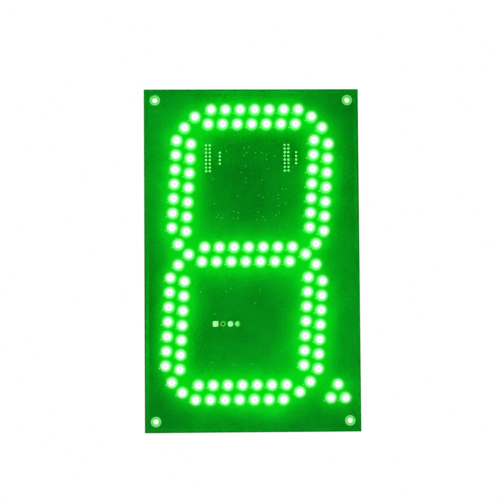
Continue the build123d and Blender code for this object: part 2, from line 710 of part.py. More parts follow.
# ============================================================ output
PARTS = {
    "circuit_board": circuit_board.part,
    "mounting_pads": mounting_pads.part,
    "plated_vias": plated_vias.part,
    "led_dies": led_dies.part,
    "bond_wires": bond_wires.part,
    "cathode_solder_joints": cathode_solder_joints.part,
    "anode_solder_joints": anode_solder_joints.part,
    "input_header_shell": input_header_shell,
    "input_header_pins": input_header_pins,
    "output_header_shell": output_header_shell,
    "output_header_pins": output_header_pins,
    "input_strip_base": input_strip_base,
    "input_strip_pins": input_strip_pins,
    "output_strip_base": output_strip_base,
    "output_strip_pins": output_strip_pins,
    "signal_solder_joints": signal_solder_joints.part,
    "power_connector_shell": power_connector_shell.part,
    "power_connector_pins": power_connector_pins,
    "power_pads": power_pads.part,
    "power_solder_joints": power_solder_joints.part,
    "buffer_body": chip_body(BUFFER_AT),
    "buffer_leads": chip_leads(BUFFER_AT),
    "driver_body": chip_body(DRIVER_AT),
    "driver_leads": chip_leads(DRIVER_AT),
    "regulator_body": regulator_body.part,
    "regulator_leads": regulator_leads.part,
    "resistor_bodies": resistor_bodies.part,
    "resistor_terminals": resistor_terminals.part,
    "ceramic_capacitor_bodies": ceramic_capacitor_bodies.part,
    "ceramic_capacitor_terminals": ceramic_capacitor_terminals.part,
    "electrolytic_capacitor_cans": electrolytic_capacitor_cans.part,
    "electrolytic_capacitor_bases": electrolytic_capacitor_bases.part,
    "electrolytic_capacitor_terminals": electrolytic_capacitor_terminals.part,
    "surface_pads": surface_pads.part,
}
for group in LEDS:
    PARTS[group + "_lenses"] = lens_groups[group]
    PARTS[group + "_leads"] = lead_groups[group]

for name, piece in PARTS.items():
    piece.label = name
    export_step(piece, "parts/" + name + ".step")
    print(name, len(piece.solids()), round(piece.volume, 3))
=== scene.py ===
import json
import math

import bpy
import numpy as np
from mathutils import Matrix, Vector


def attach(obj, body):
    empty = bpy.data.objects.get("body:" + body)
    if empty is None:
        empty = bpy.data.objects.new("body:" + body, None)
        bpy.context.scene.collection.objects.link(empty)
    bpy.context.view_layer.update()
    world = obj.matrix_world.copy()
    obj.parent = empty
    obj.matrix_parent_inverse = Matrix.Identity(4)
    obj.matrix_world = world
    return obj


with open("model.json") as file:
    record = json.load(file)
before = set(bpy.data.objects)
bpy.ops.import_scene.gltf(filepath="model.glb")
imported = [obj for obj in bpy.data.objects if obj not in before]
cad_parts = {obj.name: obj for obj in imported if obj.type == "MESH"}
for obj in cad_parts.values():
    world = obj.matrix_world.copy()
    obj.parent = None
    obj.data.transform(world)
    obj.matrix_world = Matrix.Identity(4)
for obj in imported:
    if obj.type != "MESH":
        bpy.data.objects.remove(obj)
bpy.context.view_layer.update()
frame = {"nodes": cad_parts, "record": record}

MM = 0.001

# ---------------------------------------------------------------- layout, in mm, as in the CAD
BOARD_W, BOARD_H, BOARD_T = 148.0, 236.0, 1.6
LED_PITCH, SLANT, TIP, PER_ROW = 10.0, 0.059, 40.05, 7
ROW_DX, ROW_DZ, COL_DX, COL_DZ = 1.0, 4.97, 4.875, 1.27
BAR_CENTRES = {
    "a": (1.22, 98.12), "b": (46.06, 50.60), "c": (41.21, -43.60), "d": (-8.34, -90.56),
    "e": (-53.04, -43.60), "f": (-48.30, 50.60), "g": (-3.53, 3.58),
}
POINT_LEDS = [(57.86, -85.50), (52.87, -94.74), (62.90, -94.74)]
PITCH = 2.54
IN_HEADER, OUT_HEADER = (-29.96, 70.22), (24.22, 70.45)
IN_STRIP, OUT_STRIP = (-21.77, 70.22), (30.87, 70.45)
POWER_CENTRE, POWER_PITCH = (-17.70, -43.82), 5.08
BUFFER_AT, DRIVER_AT, REGULATOR_AT = (-10.5, 60.0), (9.0, 60.0), (4.0, -40.0)
CANS = [(-18.0, -60.0), (16.5, -41.0)]

VIAS = [
    (-17.3, 75.0), (-5.0, 77.4), (-3.4, 74.0), (-1.7, 77.8), (2.6, 73.9),
    (7.1, 74.0), (10.4, 72.8), (-5.1, 71.9), (10.5, 69.4), (15.8, 71.7),
    (-7.0, 60.2), (-3.9, 64.6), (11.6, 62.9), (-26.6, 56.1), (-3.9, 56.3),
    (7.1, 55.1), (-3.9, 53.5), (21.0, 48.7), (23.6, 48.8), (-9.4, 44.1),
    (4.8, 44.5), (7.9, 43.0), (18.3, 44.7), (18.5, 42.3), (-25.7, 38.8),
    (18.7, 37.3), (23.4, 38.8), (-23.0, 31.0), (-12.4, 33.7), (-9.3, 32.5),
    (4.4, 32.8), (16.6, 30.8), (18.9, 32.5), (-24.3, 29.6), (-20.6, 29.1),
    (-12.6, 28.7), (-9.7, 28.7), (3.4, 27.6), (7.7, 29.7), (9.1, 27.5),
    (-35.5, -21.8), (-17.8, -21.5), (-14.9, -19.6), (5.2, -20.5), (1.9, -29.9),
    (-26.0, -37.0), (-28.2, -70.1), (-13.1, -71.8), (-0.6, -71.5),
]
CERAMICS = [(-10.5, 70.5), (5.5, 70.3), (4.0, -32.8), (4.0, -47.4)]
FLAT_RESISTORS = ([(x, 86.5) for x in (-16.0, -8.0, 0.0, 8.0)] + [(x, -8.8) for x in (-22.0, -12.0, -2.0, 8.0)]
                  + [(x, -77.6) for x in (-26.0, -16.0, -6.0, 4.0)] + [(54.0, -77.0)])
UPRIGHT_RESISTORS = ([(x, z) for x in (-37.3, 35.0) for z in (64.0, 52.0, 40.0, 28.0)]
                     + [(x, z) for x in (-41.6, 29.4) for z in (-28.0, -40.0, -52.0, -64.0)])

# copper tracks under the mask: width, then the corners as (x, z)
BACK_TRACKS = [
    (0.4, [(4.4, 70.4), (4.4, 65.6)]),
    (0.4, [(-11.6, 70.4), (-15.2, 66.8), (-15.2, 65.6)]),
    (0.4, [(-9.6, 70.4), (-6.0, 66.8), (-6.0, 65.6)]),
    (0.4, [(6.4, 70.4), (11.2, 65.6), (13.6, 65.6)]),
    (0.4, [(44.4, 82.0), (47.2, 84.8), (47.2, 90.8)]),
    (0.4, [(39.2, -12.4), (42.4, -9.2), (42.4, -3.6)]),
    (0.4, [(-54.8, -12.4), (-52.0, -9.6), (-52.0, -3.6)]),
    (0.4, [(-50.0, 82.0), (-47.2, 84.8), (-47.2, 90.8)]),
    (0.4, [(41.2, 32.0), (39.2, 34.0), (39.2, 42.0)]),
    (0.4, [(-53.2, 32.0), (-55.2, 34.0), (-55.2, 42.0)]),
    (0.4, [(38.8, -22.4), (36.8, -20.4), (36.8, -12.4)]),
    (0.4, [(-55.6, -22.4), (-57.6, -20.4), (-57.6, -12.4)]),
    (0.4, [(43.6, 72.0), (41.6, 74.0), (41.6, 82.0)]),
    (0.4, [(36.4, -62.4), (34.4, -60.4), (34.4, -52.4)]),
    (0.4, [(-58.0, -62.4), (-59.6, -60.8), (-59.6, -52.4)]),
    (0.4, [(-50.8, 72.0), (-52.8, 74.0), (-52.8, 82.0)]),
    (0.4, [(40.8, 22.0), (38.8, 24.0), (38.8, 32.0)]),
    (0.4, [(42.0, 42.0), (40.0, 44.0), (40.0, 52.0)]),
    (0.4, [(36.0, -72.4), (34.0, -70.4), (34.0, -62.4)]),
    (0.4, [(37.2, -52.4), (35.2, -50.4), (35.2, -42.4)]),
    (0.4, [(38.0, -32.4), (36.4, -30.8), (36.4, -22.4)]),
    (0.4, [(-58.4, -72.4), (-60.4, -70.4), (-60.4, -62.4)]),
    (0.4, [(-57.2, -52.4), (-59.2, -50.4), (-59.2, -42.4)]),
    (0.4, [(-56.0, -32.4), (-58.0, -30.4), (-58.0, -22.4)]),
    (0.4, [(-53.6, 22.0), (-55.6, 24.0), (-55.6, 32.0)]),
    (0.4, [(-52.4, 42.0), (-54.4, 44.0), (-54.4, 52.0)]),
    (0.4, [(43.2, 62.0), (41.2, 64.0), (41.2, 72.0)]),
    (0.4, [(-51.2, 62.0), (-53.2, 64.0), (-53.2, 72.0)]),
    (0.4, [(48.4, -24.8), (45.6, -27.6), (45.6, -34.8)]),
    (0.4, [(-45.6, -24.8), (-48.8, -28.0), (-48.8, -34.8)]),
    (0.4, [(53.2, 69.2), (50.4, 66.4), (50.4, 59.2)]),
    (0.4, [(51.2, 29.2), (48.0, 26.0), (48.0, 19.2)]),
    (0.4, [(46.0, -64.8), (43.2, -67.6), (43.2, -74.8)]),
    (0.4, [(-48.0, -64.8), (-51.2, -68.0), (-51.2, -74.8)]),
    (0.4, [(-40.8, 69.2), (-44.0, 66.0), (-44.0, 59.2)]),
    (0.4, [(54.0, 79.2), (50.8, 76.0), (50.8, 69.2)]),
    (0.4, [(52.8, 59.2), (49.6, 56.0), (49.6, 49.2)]),
    (0.4, [(51.6, 39.2), (48.4, 36.0), (48.4, 29.2)]),
    (0.4, [(48.0, -34.8), (44.8, -38.0), (44.8, -44.8)]),
    (0.4, [(-46.4, -34.8), (-49.6, -38.0), (-49.6, -44.8)]),
    (0.4, [(-40.4, 79.2), (-43.6, 76.0), (-43.6, 69.2)]),
    (0.4, [(-41.6, 59.2), (-44.8, 56.0), (-44.8, 49.2)]),
    (0.4, [(-42.8, 39.2), (-46.0, 36.0), (-46.0, 29.2)]),
    (0.4, [(-43.2, 29.2), (-46.4, 26.0), (-46.4, 19.2)]),
    (0.4, [(49.2, -14.8), (46.0, -18.0), (46.0, -24.8)]),
    (0.4, [(-45.2, -14.8), (-48.4, -18.0), (-48.4, -24.8)]),
    (0.4, [(46.8, -54.8), (43.6, -58.0), (43.6, -64.8)]),
    (0.4, [(-47.6, -54.8), (-50.8, -58.0), (-50.8, -64.8)]),
    (0.4, [(50.4, 19.2), (42.4, 11.2), (42.4, 10.4)]),
    (0.4, [(-44.0, 19.2), (-52.0, 11.2), (-52.0, 10.4)]),
    (0.4, [(45.6, -74.8), (37.6, -82.8), (37.6, -83.6)]),
    (0.4, [(-48.8, -74.8), (-56.8, -82.8), (-56.8, -83.6)]),
    (0.4, [(-38.0, -95.6), (-42.0, -91.6), (-48.4, -91.6), (-49.6, -90.4)]),
    (0.8, [(5.2, -47.6), (11.6, -41.2), (12.8, -41.2)]),
    (0.8, [(-10.0, -44.0), (-6.4, -47.6), (2.8, -47.6)]),
    (0.25, [(-28.8, 61.2), (-23.2, 55.6), (-15.2, 55.6)]),
    (0.25, [(-28.8, 64.0), (-21.6, 56.8), (-15.2, 56.8)]),
    (0.25, [(-28.8, 66.4), (-20.4, 58.0), (-15.2, 58.0)]),
    (0.25, [(-28.8, 68.8), (-19.2, 59.2), (-15.2, 59.2)]),
    (0.25, [(-28.8, 71.6), (-18.0, 60.8), (-15.2, 60.8)]),
    (0.25, [(-28.8, 74.0), (-22.4, 67.6), (-21.2, 67.6), (-15.6, 62.0), (-15.2, 62.0)]),
    (0.25, [(-28.8, 76.4), (-22.4, 70.0), (-21.2, 70.0), (-16.4, 65.2), (-16.4, 64.0), (-15.6, 63.2),
          (-15.2, 63.2)]),
    (1.2, [(-25.2, -44.0), (-14.4, -54.8), (-14.4, -60.0)]),
    (0.25, [(-28.8, 79.2), (-18.4, 79.2), (-10.4, 71.2), (-10.4, 68.8), (-14.8, 64.4), (-15.2, 64.4)]),
    (0.8, [(-15.2, -44.0), (-4.0, -32.8), (2.8, -32.8)]),
    (0.3, [(40.4, 62.0), (35.2, 62.0), (34.8, 62.4)]),
    (0.3, [(38.0, 22.0), (34.8, 25.2), (34.8, 26.4)]),
    (0.3, [(-11.2, 93.2), (-9.6, 91.6), (-9.6, 86.4)]),
    (0.3, [(35.6, -32.4), (32.0, -32.4), (29.2, -29.6)]),
    (0.3, [(-15.6, -1.2), (-13.6, -3.2), (-13.6, -8.8)]),
    (0.3, [(33.2, -72.4), (29.2, -68.4), (29.2, -65.6)]),
    (0.3, [(-45.2, 39.2), (-44.0, 40.4), (-39.2, 40.4), (-37.2, 38.4)]),
    (0.3, [(1.2, -85.6), (2.4, -84.4), (2.4, -77.6)]),
    (0.3, [(-50.0, -54.8), (-48.8, -53.6), (-41.6, -53.6)]),
    (0.3, [(-38.8, -85.6), (-30.8, -77.6), (-27.6, -77.6)]),
    (0.3, [(49.2, 39.2), (42.8, 39.2), (40.4, 41.6), (40.4, 42.4), (39.6, 43.2), (39.2, 43.2), (34.8, 38.8),
          (34.8, 38.4)]),
    (0.3, [(44.4, -54.8), (38.0, -54.8), (36.0, -52.8), (36.0, -52.4), (34.8, -51.2), (31.6, -51.2),
          (29.2, -53.6)]),
    (0.3, [(-54.0, 62.0), (-50.0, 58.0), (-44.0, 58.0), (-42.8, 59.2), (-42.8, 59.6), (-40.0, 62.4),
          (-37.2, 62.4)]),
    (0.3, [(10.8, 103.2), (6.4, 98.8), (6.4, 86.4)]),
    (0.3, [(-35.6, -22.0), (-35.6, -23.6), (-41.6, -29.6)]),
    (0.3, [(6.0, 8.4), (5.6, 8.0), (5.6, -8.0), (6.4, -8.8)]),
    (0.3, [(-20.8, -95.6), (-17.6, -92.4), (-17.6, -77.6)]),
    (0.3, [(-56.4, 22.0), (-52.4, 18.0), (-46.4, 18.0), (-45.2, 19.2), (-45.2, 19.6), (-38.4, 26.4),
          (-37.2, 26.4)]),
    (0.3, [(-34.0, 8.4), (-34.0, 1.6), (-23.6, -8.8)]),
    (0.3, [(-29.2, 103.2), (-29.2, 98.0), (-17.6, 86.4)]),
    (0.3, [(-60.8, -72.4), (-60.8, -81.2), (-57.2, -84.8), (-56.4, -84.8), (-55.2, -83.6), (-55.2, -83.2),
          (-41.6, -69.6), (-41.6, -65.6)]),
    (0.3, [(-47.6, -14.8), (-46.4, -13.6), (-44.8, -13.6), (-43.2, -15.2), (-43.2, -40.0), (-41.6, -41.6)]),
    (0.3, [(24.4, -1.2), (15.2, -10.4), (-2.0, -10.4), (-3.6, -8.8)]),
    (0.3, [(-42.8, 79.2), (-41.6, 80.4), (-40.0, 80.4), (-36.0, 76.4), (-36.0, 51.6), (-37.2, 50.4)]),
    (0.3, [(28.8, 93.2), (20.8, 85.2), (-0.4, 85.2), (-1.6, 86.4)]),
    (0.3, [(46.4, -14.8), (40.0, -21.2), (40.0, -32.0), (30.4, -41.6), (29.2, -41.6)]),
    (0.3, [(19.2, -95.6), (10.4, -86.8), (1.2, -86.8), (-7.6, -78.0), (-7.6, -77.6)]),
    (0.3, [(51.6, 79.2), (44.8, 72.4), (44.8, 60.4), (34.8, 50.4)]),
    (0.3, [(13.6, 56.8), (26.0, 56.8), (34.8, 65.6)]),
    (0.3, [(28.8, 59.6), (34.8, 53.6)]),
    (0.3, [(34.8, 53.6), (33.6, 52.4), (33.6, 42.8), (34.8, 41.6)]),
    (0.3, [(34.8, 41.6), (33.6, 40.4), (33.6, 30.8), (34.8, 29.6)]),
    (0.3, [(13.6, 55.6), (12.4, 55.6), (8.0, 60.0), (3.6, 60.0), (-14.4, 78.0), (-14.4, 86.4)]),
    (0.3, [(-14.4, 85.2), (-7.6, 85.2), (-6.4, 86.4)]),
    (0.3, [(-6.4, 86.4), (-4.8, 88.0), (0.0, 88.0), (1.6, 86.4)]),
    (0.3, [(0.0, 88.0), (0.0, 93.6), (10.8, 104.4), (11.2, 104.4), (12.0, 103.6), (12.0, 95.2), (10.0, 93.2),
          (10.0, 86.8), (9.6, 86.4)]),
    (0.3, [(13.6, 62.0), (12.4, 62.0), (11.6, 62.8)]),
    (0.3, [(-17.2, 74.8), (-20.4, 78.0), (-36.4, 78.0), (-39.6, 81.2), (-42.8, 81.2), (-44.8, 79.2),
          (-44.8, 69.2), (-43.6, 68.0), (-43.2, 68.0), (-42.0, 69.2), (-42.0, 70.0), (-41.6, 70.4), (-40.4, 70.4),
          (-37.2, 67.2), (-37.2, 65.6)]),
    (0.3, [(-35.2, 78.0), (-35.2, 50.8), (-36.4, 49.6), (-38.4, 49.6), (-38.8, 50.0), (-38.8, 52.0),
          (-37.2, 53.6)]),
    (0.3, [(-37.2, 49.6), (-37.2, 41.6)]),
    (0.3, [(-37.2, 41.6), (-36.0, 40.4), (-36.0, 30.8), (-37.2, 29.6)]),
    (0.3, [(13.6, 63.2), (14.0, 63.2), (14.8, 64.0), (14.8, 66.0), (11.6, 69.2), (10.4, 69.2)]),
    (0.3, [(-20.4, 29.2), (-20.0, 28.8), (-20.0, -8.4), (-20.4, -8.8)]),
    (0.3, [(-20.0, -8.4), (-18.0, -10.4), (-12.0, -10.4), (-10.4, -8.8)]),
    (0.3, [(-10.4, -8.8), (-9.2, -7.6), (-1.6, -7.6), (-0.4, -8.8)]),
    (0.3, [(-1.6, -7.6), (-1.6, 2.4), (5.6, 9.6), (6.8, 9.6), (7.6, 8.8), (7.6, -0.8), (9.6, -2.8), (9.6, -8.8)]),
    (0.3, [(13.6, 58.0), (14.0, 58.0), (15.6, 59.6), (15.6, 71.6)]),
    (0.3, [(23.6, 48.8), (23.6, 3.2), (29.2, -2.4), (29.2, -26.4)]),
    (0.3, [(29.2, -26.4), (28.0, -27.6), (28.0, -37.2), (29.2, -38.4)]),
    (0.3, [(29.2, -38.4), (28.0, -39.6), (28.0, -49.2), (29.2, -50.4)]),
    (0.3, [(29.2, -50.4), (28.0, -51.6), (28.0, -61.2), (29.2, -62.4)]),
    (0.3, [(13.6, 60.8), (12.4, 60.8), (5.6, 67.6), (5.6, 71.2), (2.8, 74.0), (2.4, 74.0)]),
    (0.3, [(-4.0, 64.4), (-4.0, 53.2), (-40.0, 17.2), (-40.0, -24.8), (-41.6, -26.4)]),
    (0.3, [(-40.0, -20.8), (-35.2, -20.8), (-34.4, -21.6), (-34.4, -31.2), (-41.6, -38.4)]),
    (0.3, [(-41.6, -38.4), (-40.4, -39.6), (-40.4, -49.2), (-41.6, -50.4)]),
    (0.3, [(-41.6, -50.4), (-40.4, -51.6), (-40.4, -61.2), (-41.6, -62.4)]),
    (0.25, [(-6.0, 55.6), (-5.6, 56.0), (-3.6, 56.0), (3.6, 48.8), (21.2, 48.8)]),
    (0.25, [(-6.0, 56.8), (-2.4, 56.8), (0.8, 53.6), (5.6, 53.6), (7.2, 55.2)]),
    (0.25, [(-6.0, 58.0), (-6.4, 58.0), (-7.2, 58.8), (-7.2, 59.6), (-6.8, 60.0)]),
    (0.25, [(-6.0, 60.8), (-6.4, 61.2), (-7.2, 61.2), (-8.0, 60.4), (-8.0, 54.8), (-6.8, 53.6), (-4.8, 53.6),
          (4.4, 44.4), (4.8, 44.4)]),
    (0.25, [(-6.0, 62.0), (-7.2, 62.0), (-12.8, 56.4), (-12.8, 55.2), (-14.4, 53.6), (-24.4, 53.6), (-26.8, 56.0)]),
    (0.25, [(-4.0, 56.4), (-3.2, 56.4), (0.4, 52.8), (6.0, 52.8), (8.0, 54.8), (8.0, 55.6), (7.6, 56.0),
          (4.8, 56.0), (4.4, 55.6)]),
    (0.25, [(-4.0, 53.6), (2.0, 47.6), (21.2, 47.6), (22.0, 48.4), (22.0, 48.8), (17.2, 53.6), (10.8, 53.6),
          (7.6, 56.8), (4.4, 56.8)]),
    (0.25, [(-5.2, 77.2), (-5.2, 70.0), (4.0, 60.8), (4.4, 60.8)]),
    (0.25, [(-1.6, 78.0), (-1.6, 67.6), (4.0, 62.0), (4.4, 62.0)]),
]
FRONT_TRACKS = [
    (0.4, [(13.6, 103.2), (20.8, 103.2)]),
    (0.4, [(8.8, 8.4), (16.4, 8.4)]),
    (0.4, [(-6.4, 103.2), (0.8, 103.2)]),
    (0.4, [(-11.2, 8.4), (-3.6, 8.4)]),
    (0.4, [(-26.4, 103.2), (-19.2, 103.2)]),
    (0.4, [(-16.4, 103.2), (-9.2, 103.2)]),
    (0.4, [(23.6, 103.2), (30.8, 103.2)]),
    (0.4, [(-36.0, -85.6), (-28.8, -85.6)]),
    (0.4, [(-26.0, -85.6), (-18.8, -85.6)]),
    (0.4, [(-16.0, -85.6), (-8.8, -85.6)]),
    (0.4, [(4.0, -85.6), (11.2, -85.6)]),
    (0.4, [(14.0, -85.6), (21.2, -85.6)]),
    (0.4, [(-31.2, 8.4), (-23.6, 8.4)]),
    (0.4, [(-21.2, 8.4), (-14.0, 8.4)]),
    (0.4, [(18.8, 8.4), (26.0, 8.4)]),
    (0.4, [(33.6, 103.2), (38.8, 98.0), (40.0, 98.0)]),
    (0.4, [(24.0, -85.6), (28.8, -90.4), (30.4, -90.4)]),
    (0.4, [(28.8, 8.4), (33.6, 3.6), (35.2, 3.6)]),
    (0.4, [(-23.2, -1.2), (-24.4, -2.4), (-34.4, -2.4), (-35.6, -1.2)]),
    (0.4, [(31.6, 93.2), (30.4, 92.0), (20.0, 92.0), (18.8, 93.2)]),
    (0.4, [(21.6, 93.2), (20.4, 94.4), (10.0, 94.4), (8.8, 93.2)]),
    (0.4, [(-18.4, 93.2), (-19.6, 92.0), (-30.0, 92.0), (-31.2, 93.2)]),
    (0.4, [(22.0, -95.6), (20.8, -96.8), (10.4, -96.8), (9.2, -95.6)]),
    (0.4, [(12.0, -95.6), (10.8, -94.4), (0.4, -94.4), (-0.8, -95.6)]),
    (0.4, [(2.0, -95.6), (0.8, -96.8), (-9.6, -96.8), (-10.8, -95.6)]),
    (0.4, [(-18.0, -95.6), (-19.2, -96.8), (-29.6, -96.8), (-30.8, -95.6)]),
    (0.4, [(-28.0, -95.6), (-29.2, -94.4), (-39.6, -94.4), (-40.8, -95.6)]),
    (0.4, [(26.8, -1.2), (25.6, -2.4), (15.2, -2.4), (14.0, -1.2)]),
    (0.4, [(16.8, -1.2), (15.6, 0.0), (5.6, 0.0), (4.4, -1.2)]),
    (0.4, [(6.8, -1.2), (5.6, -2.4), (-4.8, -2.4), (-6.0, -1.2)]),
    (0.4, [(11.6, 93.2), (10.4, 92.0), (0.0, 92.0), (-1.2, 93.2)]),
    (0.4, [(-8.4, 93.2), (-9.6, 94.4), (-20.0, 94.4), (-21.2, 93.2)]),
    (0.4, [(-13.2, -1.2), (-14.4, 0.0), (-24.8, 0.0), (-26.0, -1.2)]),
    (0.4, [(-28.4, 93.2), (-32.0, 96.8), (-38.8, 96.8), (-40.0, 98.0)]),
    (0.4, [(-33.2, -1.2), (-36.8, 2.4), (-43.6, 2.4), (-44.8, 3.6)]),
    (0.25, [(25.6, 66.8), (30.8, 66.8)]),
    (0.25, [(25.6, 69.2), (30.8, 69.2)]),
    (0.25, [(25.6, 71.6), (30.8, 71.6)]),
    (0.25, [(25.6, 74.4), (30.8, 74.4)]),
    (0.3, [(-58.4, -32.4), (-48.0, -22.0), (-35.6, -22.0)]),
    (0.3, [(11.6, 62.8), (-5.2, 62.8), (-17.2, 74.8)]),
    (0.3, [(10.4, 69.2), (12.4, 67.2), (12.4, 62.0), (-20.4, 29.2)]),
    (0.3, [(15.6, 71.6), (15.6, 56.8), (23.6, 48.8)]),
    (0.3, [(2.4, 74.0), (-4.0, 67.6), (-4.0, 64.4)]),
    (0.25, [(21.2, 48.8), (22.0, 48.0), (24.0, 48.0), (24.4, 48.4), (24.4, 60.0), (22.8, 61.6)]),
    (0.25, [(7.2, 55.2), (14.8, 62.8), (14.8, 72.0), (15.6, 72.8), (16.0, 72.8), (21.6, 67.2), (21.6, 65.2),
          (22.8, 64.0)]),
    (0.25, [(-6.8, 60.0), (-18.4, 71.6), (-18.4, 75.2), (-17.6, 76.0), (13.6, 76.0), (22.8, 66.8)]),
    (0.25, [(4.8, 44.4), (21.2, 44.4), (25.2, 48.4), (25.2, 60.4), (24.0, 61.6), (24.0, 70.4), (22.8, 71.6)]),
    (0.25, [(-26.8, 56.0), (-20.0, 62.8), (-20.0, 74.4), (-17.6, 76.8), (20.4, 76.8), (22.8, 74.4)]),
    (0.25, [(-31.2, 61.2), (-31.2, 59.6), (-26.8, 55.2), (-5.2, 55.2), (-4.0, 56.4)]),
    (0.25, [(-31.2, 64.0), (-32.4, 62.8), (-32.4, 60.0), (-26.0, 53.6), (-4.0, 53.6)]),
    (0.25, [(-31.2, 71.6), (-30.0, 72.8), (-28.0, 72.8), (-23.2, 77.6), (-5.6, 77.6), (-5.2, 77.2)]),
    (0.25, [(-31.2, 74.0), (-30.0, 75.2), (-28.0, 75.2), (-24.8, 78.4), (-2.0, 78.4), (-1.6, 78.0)]),
]


def bar_leds(name):
    cx, cz = BAR_CENTRES[name]
    steps = [LED_PITCH * (i - (PER_ROW - 1) / 2) for i in range(PER_ROW)]
    if name in "adg":
        return ([(cx + ROW_DX + s, cz + ROW_DZ) for s in steps]
                + [(cx - ROW_DX + s, cz - ROW_DZ) for s in steps]
                + [(cx - TIP, cz), (cx + TIP, cz)])
    return ([(cx - COL_DX + SLANT * s, cz + COL_DZ + s) for s in steps]
            + [(cx + COL_DX + SLANT * s, cz - COL_DZ + s) for s in steps]
            + [(cx - SLANT * TIP, cz - TIP), (cx + SLANT * TIP, cz + TIP)])


ALL_LEDS = [p for n in "abcdefg" for p in bar_leds(n)] + POINT_LEDS

# ---------------------------------------------------------------- camera
AZ, EL, ROLL = (math.radians(a) for a in (-2.0145, -3.4245, -0.4121))
TARGET = Vector((-1.3788, 0.0, 6.8952)) * MM
DISTANCE = 1.220
FOCAL_PX = 1773.6


def make_camera():
    forward = Vector((-math.sin(AZ) * math.cos(EL), math.cos(AZ) * math.cos(EL), -math.sin(EL)))
    right = forward.cross(Vector((0, 0, 1))).normalized()
    up = right.cross(forward)
    x = right * math.cos(ROLL) + up * math.sin(ROLL)
    y = -right * math.sin(ROLL) + up * math.cos(ROLL)
    data = bpy.data.cameras.new("camera")
    data.sensor_width = 36.0
    data.lens = FOCAL_PX * 36.0 / 500.0
    data.clip_start, data.clip_end = 0.05, 50.0
    cam = bpy.data.objects.new("camera", data)
    m = Matrix((x, y, -forward)).transposed().to_4x4()
    m.translation = TARGET - forward * DISTANCE
    cam.matrix_world = m
    bpy.context.scene.collection.objects.link(cam)
    bpy.context.scene.camera = cam


make_camera()


# ---------------------------------------------------------------- node helpers
class Mat:
    """A material with one Principled shader and short helpers for its nodes."""

    def __init__(self, name, **settings):
        self.m = bpy.data.materials.new(name)
        self.m.use_nodes = True
        self.nt = self.m.node_tree
        self.nt.nodes.clear()
        self.out = self.nt.nodes.new("ShaderNodeOutputMaterial")
        self.bsdf = self.nt.nodes.new("ShaderNodeBsdfPrincipled")
        self.link(self.bsdf.outputs["BSDF"], self.out.inputs["Surface"])
        for key, value in settings.items():
            self.set(key.replace("_", " "), value)
        self._pos = None

    def set(self, socket, value):
        s = self.bsdf.inputs[socket]
        if isinstance(value, bpy.types.NodeSocket):
            self.link(value, s)
        elif s.type == "RGBA" and len(value) == 3:
            s.default_value = (*value, 1.0)
        else:
            s.default_value = value

    def link(self, a, b):
        self.nt.links.new(a, b)

    def node(self, kind, **props):
        n = self.nt.nodes.new(kind)
        for k, v in props.items():
            setattr(n, k, v)
        return n

    def _in(self, n, i, v):
        if isinstance(v, bpy.types.NodeSocket):
            self.link(v, n.inputs[i])
        elif v is not None:
            n.inputs[i].default_value = v

    def pos(self):
        """Position in the shared frame, in millimetres."""
        if self._pos is None:
            tc = self.node("ShaderNodeTexCoord")
            self._pos = self.vec("SCALE", tc.outputs["Object"], scale=1000.0)
        return self._pos

    def vec(self, op, a, b=None, scale=None):
        n = self.node("ShaderNodeVectorMath", operation=op)
        self._in(n, 0, a)
        if b is not None:
            self._in(n, 1, b)
        if scale is not None:
            n.inputs["Scale"].default_value = scale
        return n.outputs[0]

    def xyz(self, v):
        n = self.node("ShaderNodeSeparateXYZ")
        self.link(v, n.inputs[0])
        return n.outputs

    def normal(self):
        return self.xyz(self.node("ShaderNodeNewGeometry").outputs["Normal"])

    def math(self, op, a, b=None, c=None, clamp=False):
        n = self.node("ShaderNodeMath", operation=op, use_clamp=clamp)
        self._in(n, 0, a)
        self._in(n, 1, b)
        self._in(n, 2, c)
        return n.outputs[0]

    def ramp(self, v, lo, hi, a=0.0, b=1.0, smooth=True):
        n = self.node("ShaderNodeMapRange", interpolation_type="SMOOTHSTEP" if smooth else "LINEAR")
        self._in(n, 0, v)
        for i, x in enumerate((lo, hi, a, b)):
            n.inputs[i + 1].default_value = x
        return n.outputs[0]

    def noise(self, scale, detail=3.0, rough=0.55, vector=None, distortion=0.0):
        n = self.node("ShaderNodeTexNoise")
        self.link(vector if vector is not None else self.pos(), n.inputs["Vector"])
        n.inputs["Scale"].default_value = scale
        n.inputs["Detail"].default_value = detail
        n.inputs["Roughness"].default_value = rough
        n.inputs["Distortion"].default_value = distortion
        return n.outputs[0]

    def voronoi(self, scale, feature="F1", vector=None):
        n = self.node("ShaderNodeTexVoronoi", feature=feature)
        self.link(vector if vector is not None else self.pos(), n.inputs["Vector"])
        n.inputs["Scale"].default_value = scale
        return n.outputs["Distance"]

    def mix(self, fac, a, b):
        n = self.node("ShaderNodeMix", data_type="RGBA")
        self._in(n, 0, fac)
        for i, v in ((6, a), (7, b)):
            if isinstance(v, bpy.types.NodeSocket):
                self.link(v, n.inputs[i])
            else:
                n.inputs[i].default_value = (*v, 1.0) if len(v) == 3 else v
        return n.outputs[2]

    def bump(self, height, strength, distance=0.0001, normal=None):
        n = self.node("ShaderNodeBump")
        n.inputs["Strength"].default_value = strength
        n.inputs["Distance"].default_value = distance
        self.link(height, n.inputs["Height"])
        if normal is not None:
            self.link(normal, n.inputs["Normal"])
        self.set("Normal", n.outputs[0])
        return n.outputs[0]


# ---------------------------------------------------------------- materials
def weave_height(g, pitch=0.55):
    """Faint glass cloth under the solder mask: two crossed sets of flat threads."""
    p = g.xyz(g.pos())
    sx = g.math("SINE", g.math("MULTIPLY", p[0], 2 * math.pi / pitch))
    sz = g.math("SINE", g.math("MULTIPLY", p[2], 2 * math.pi / pitch))
    return g.math("MULTIPLY", sx, sz)


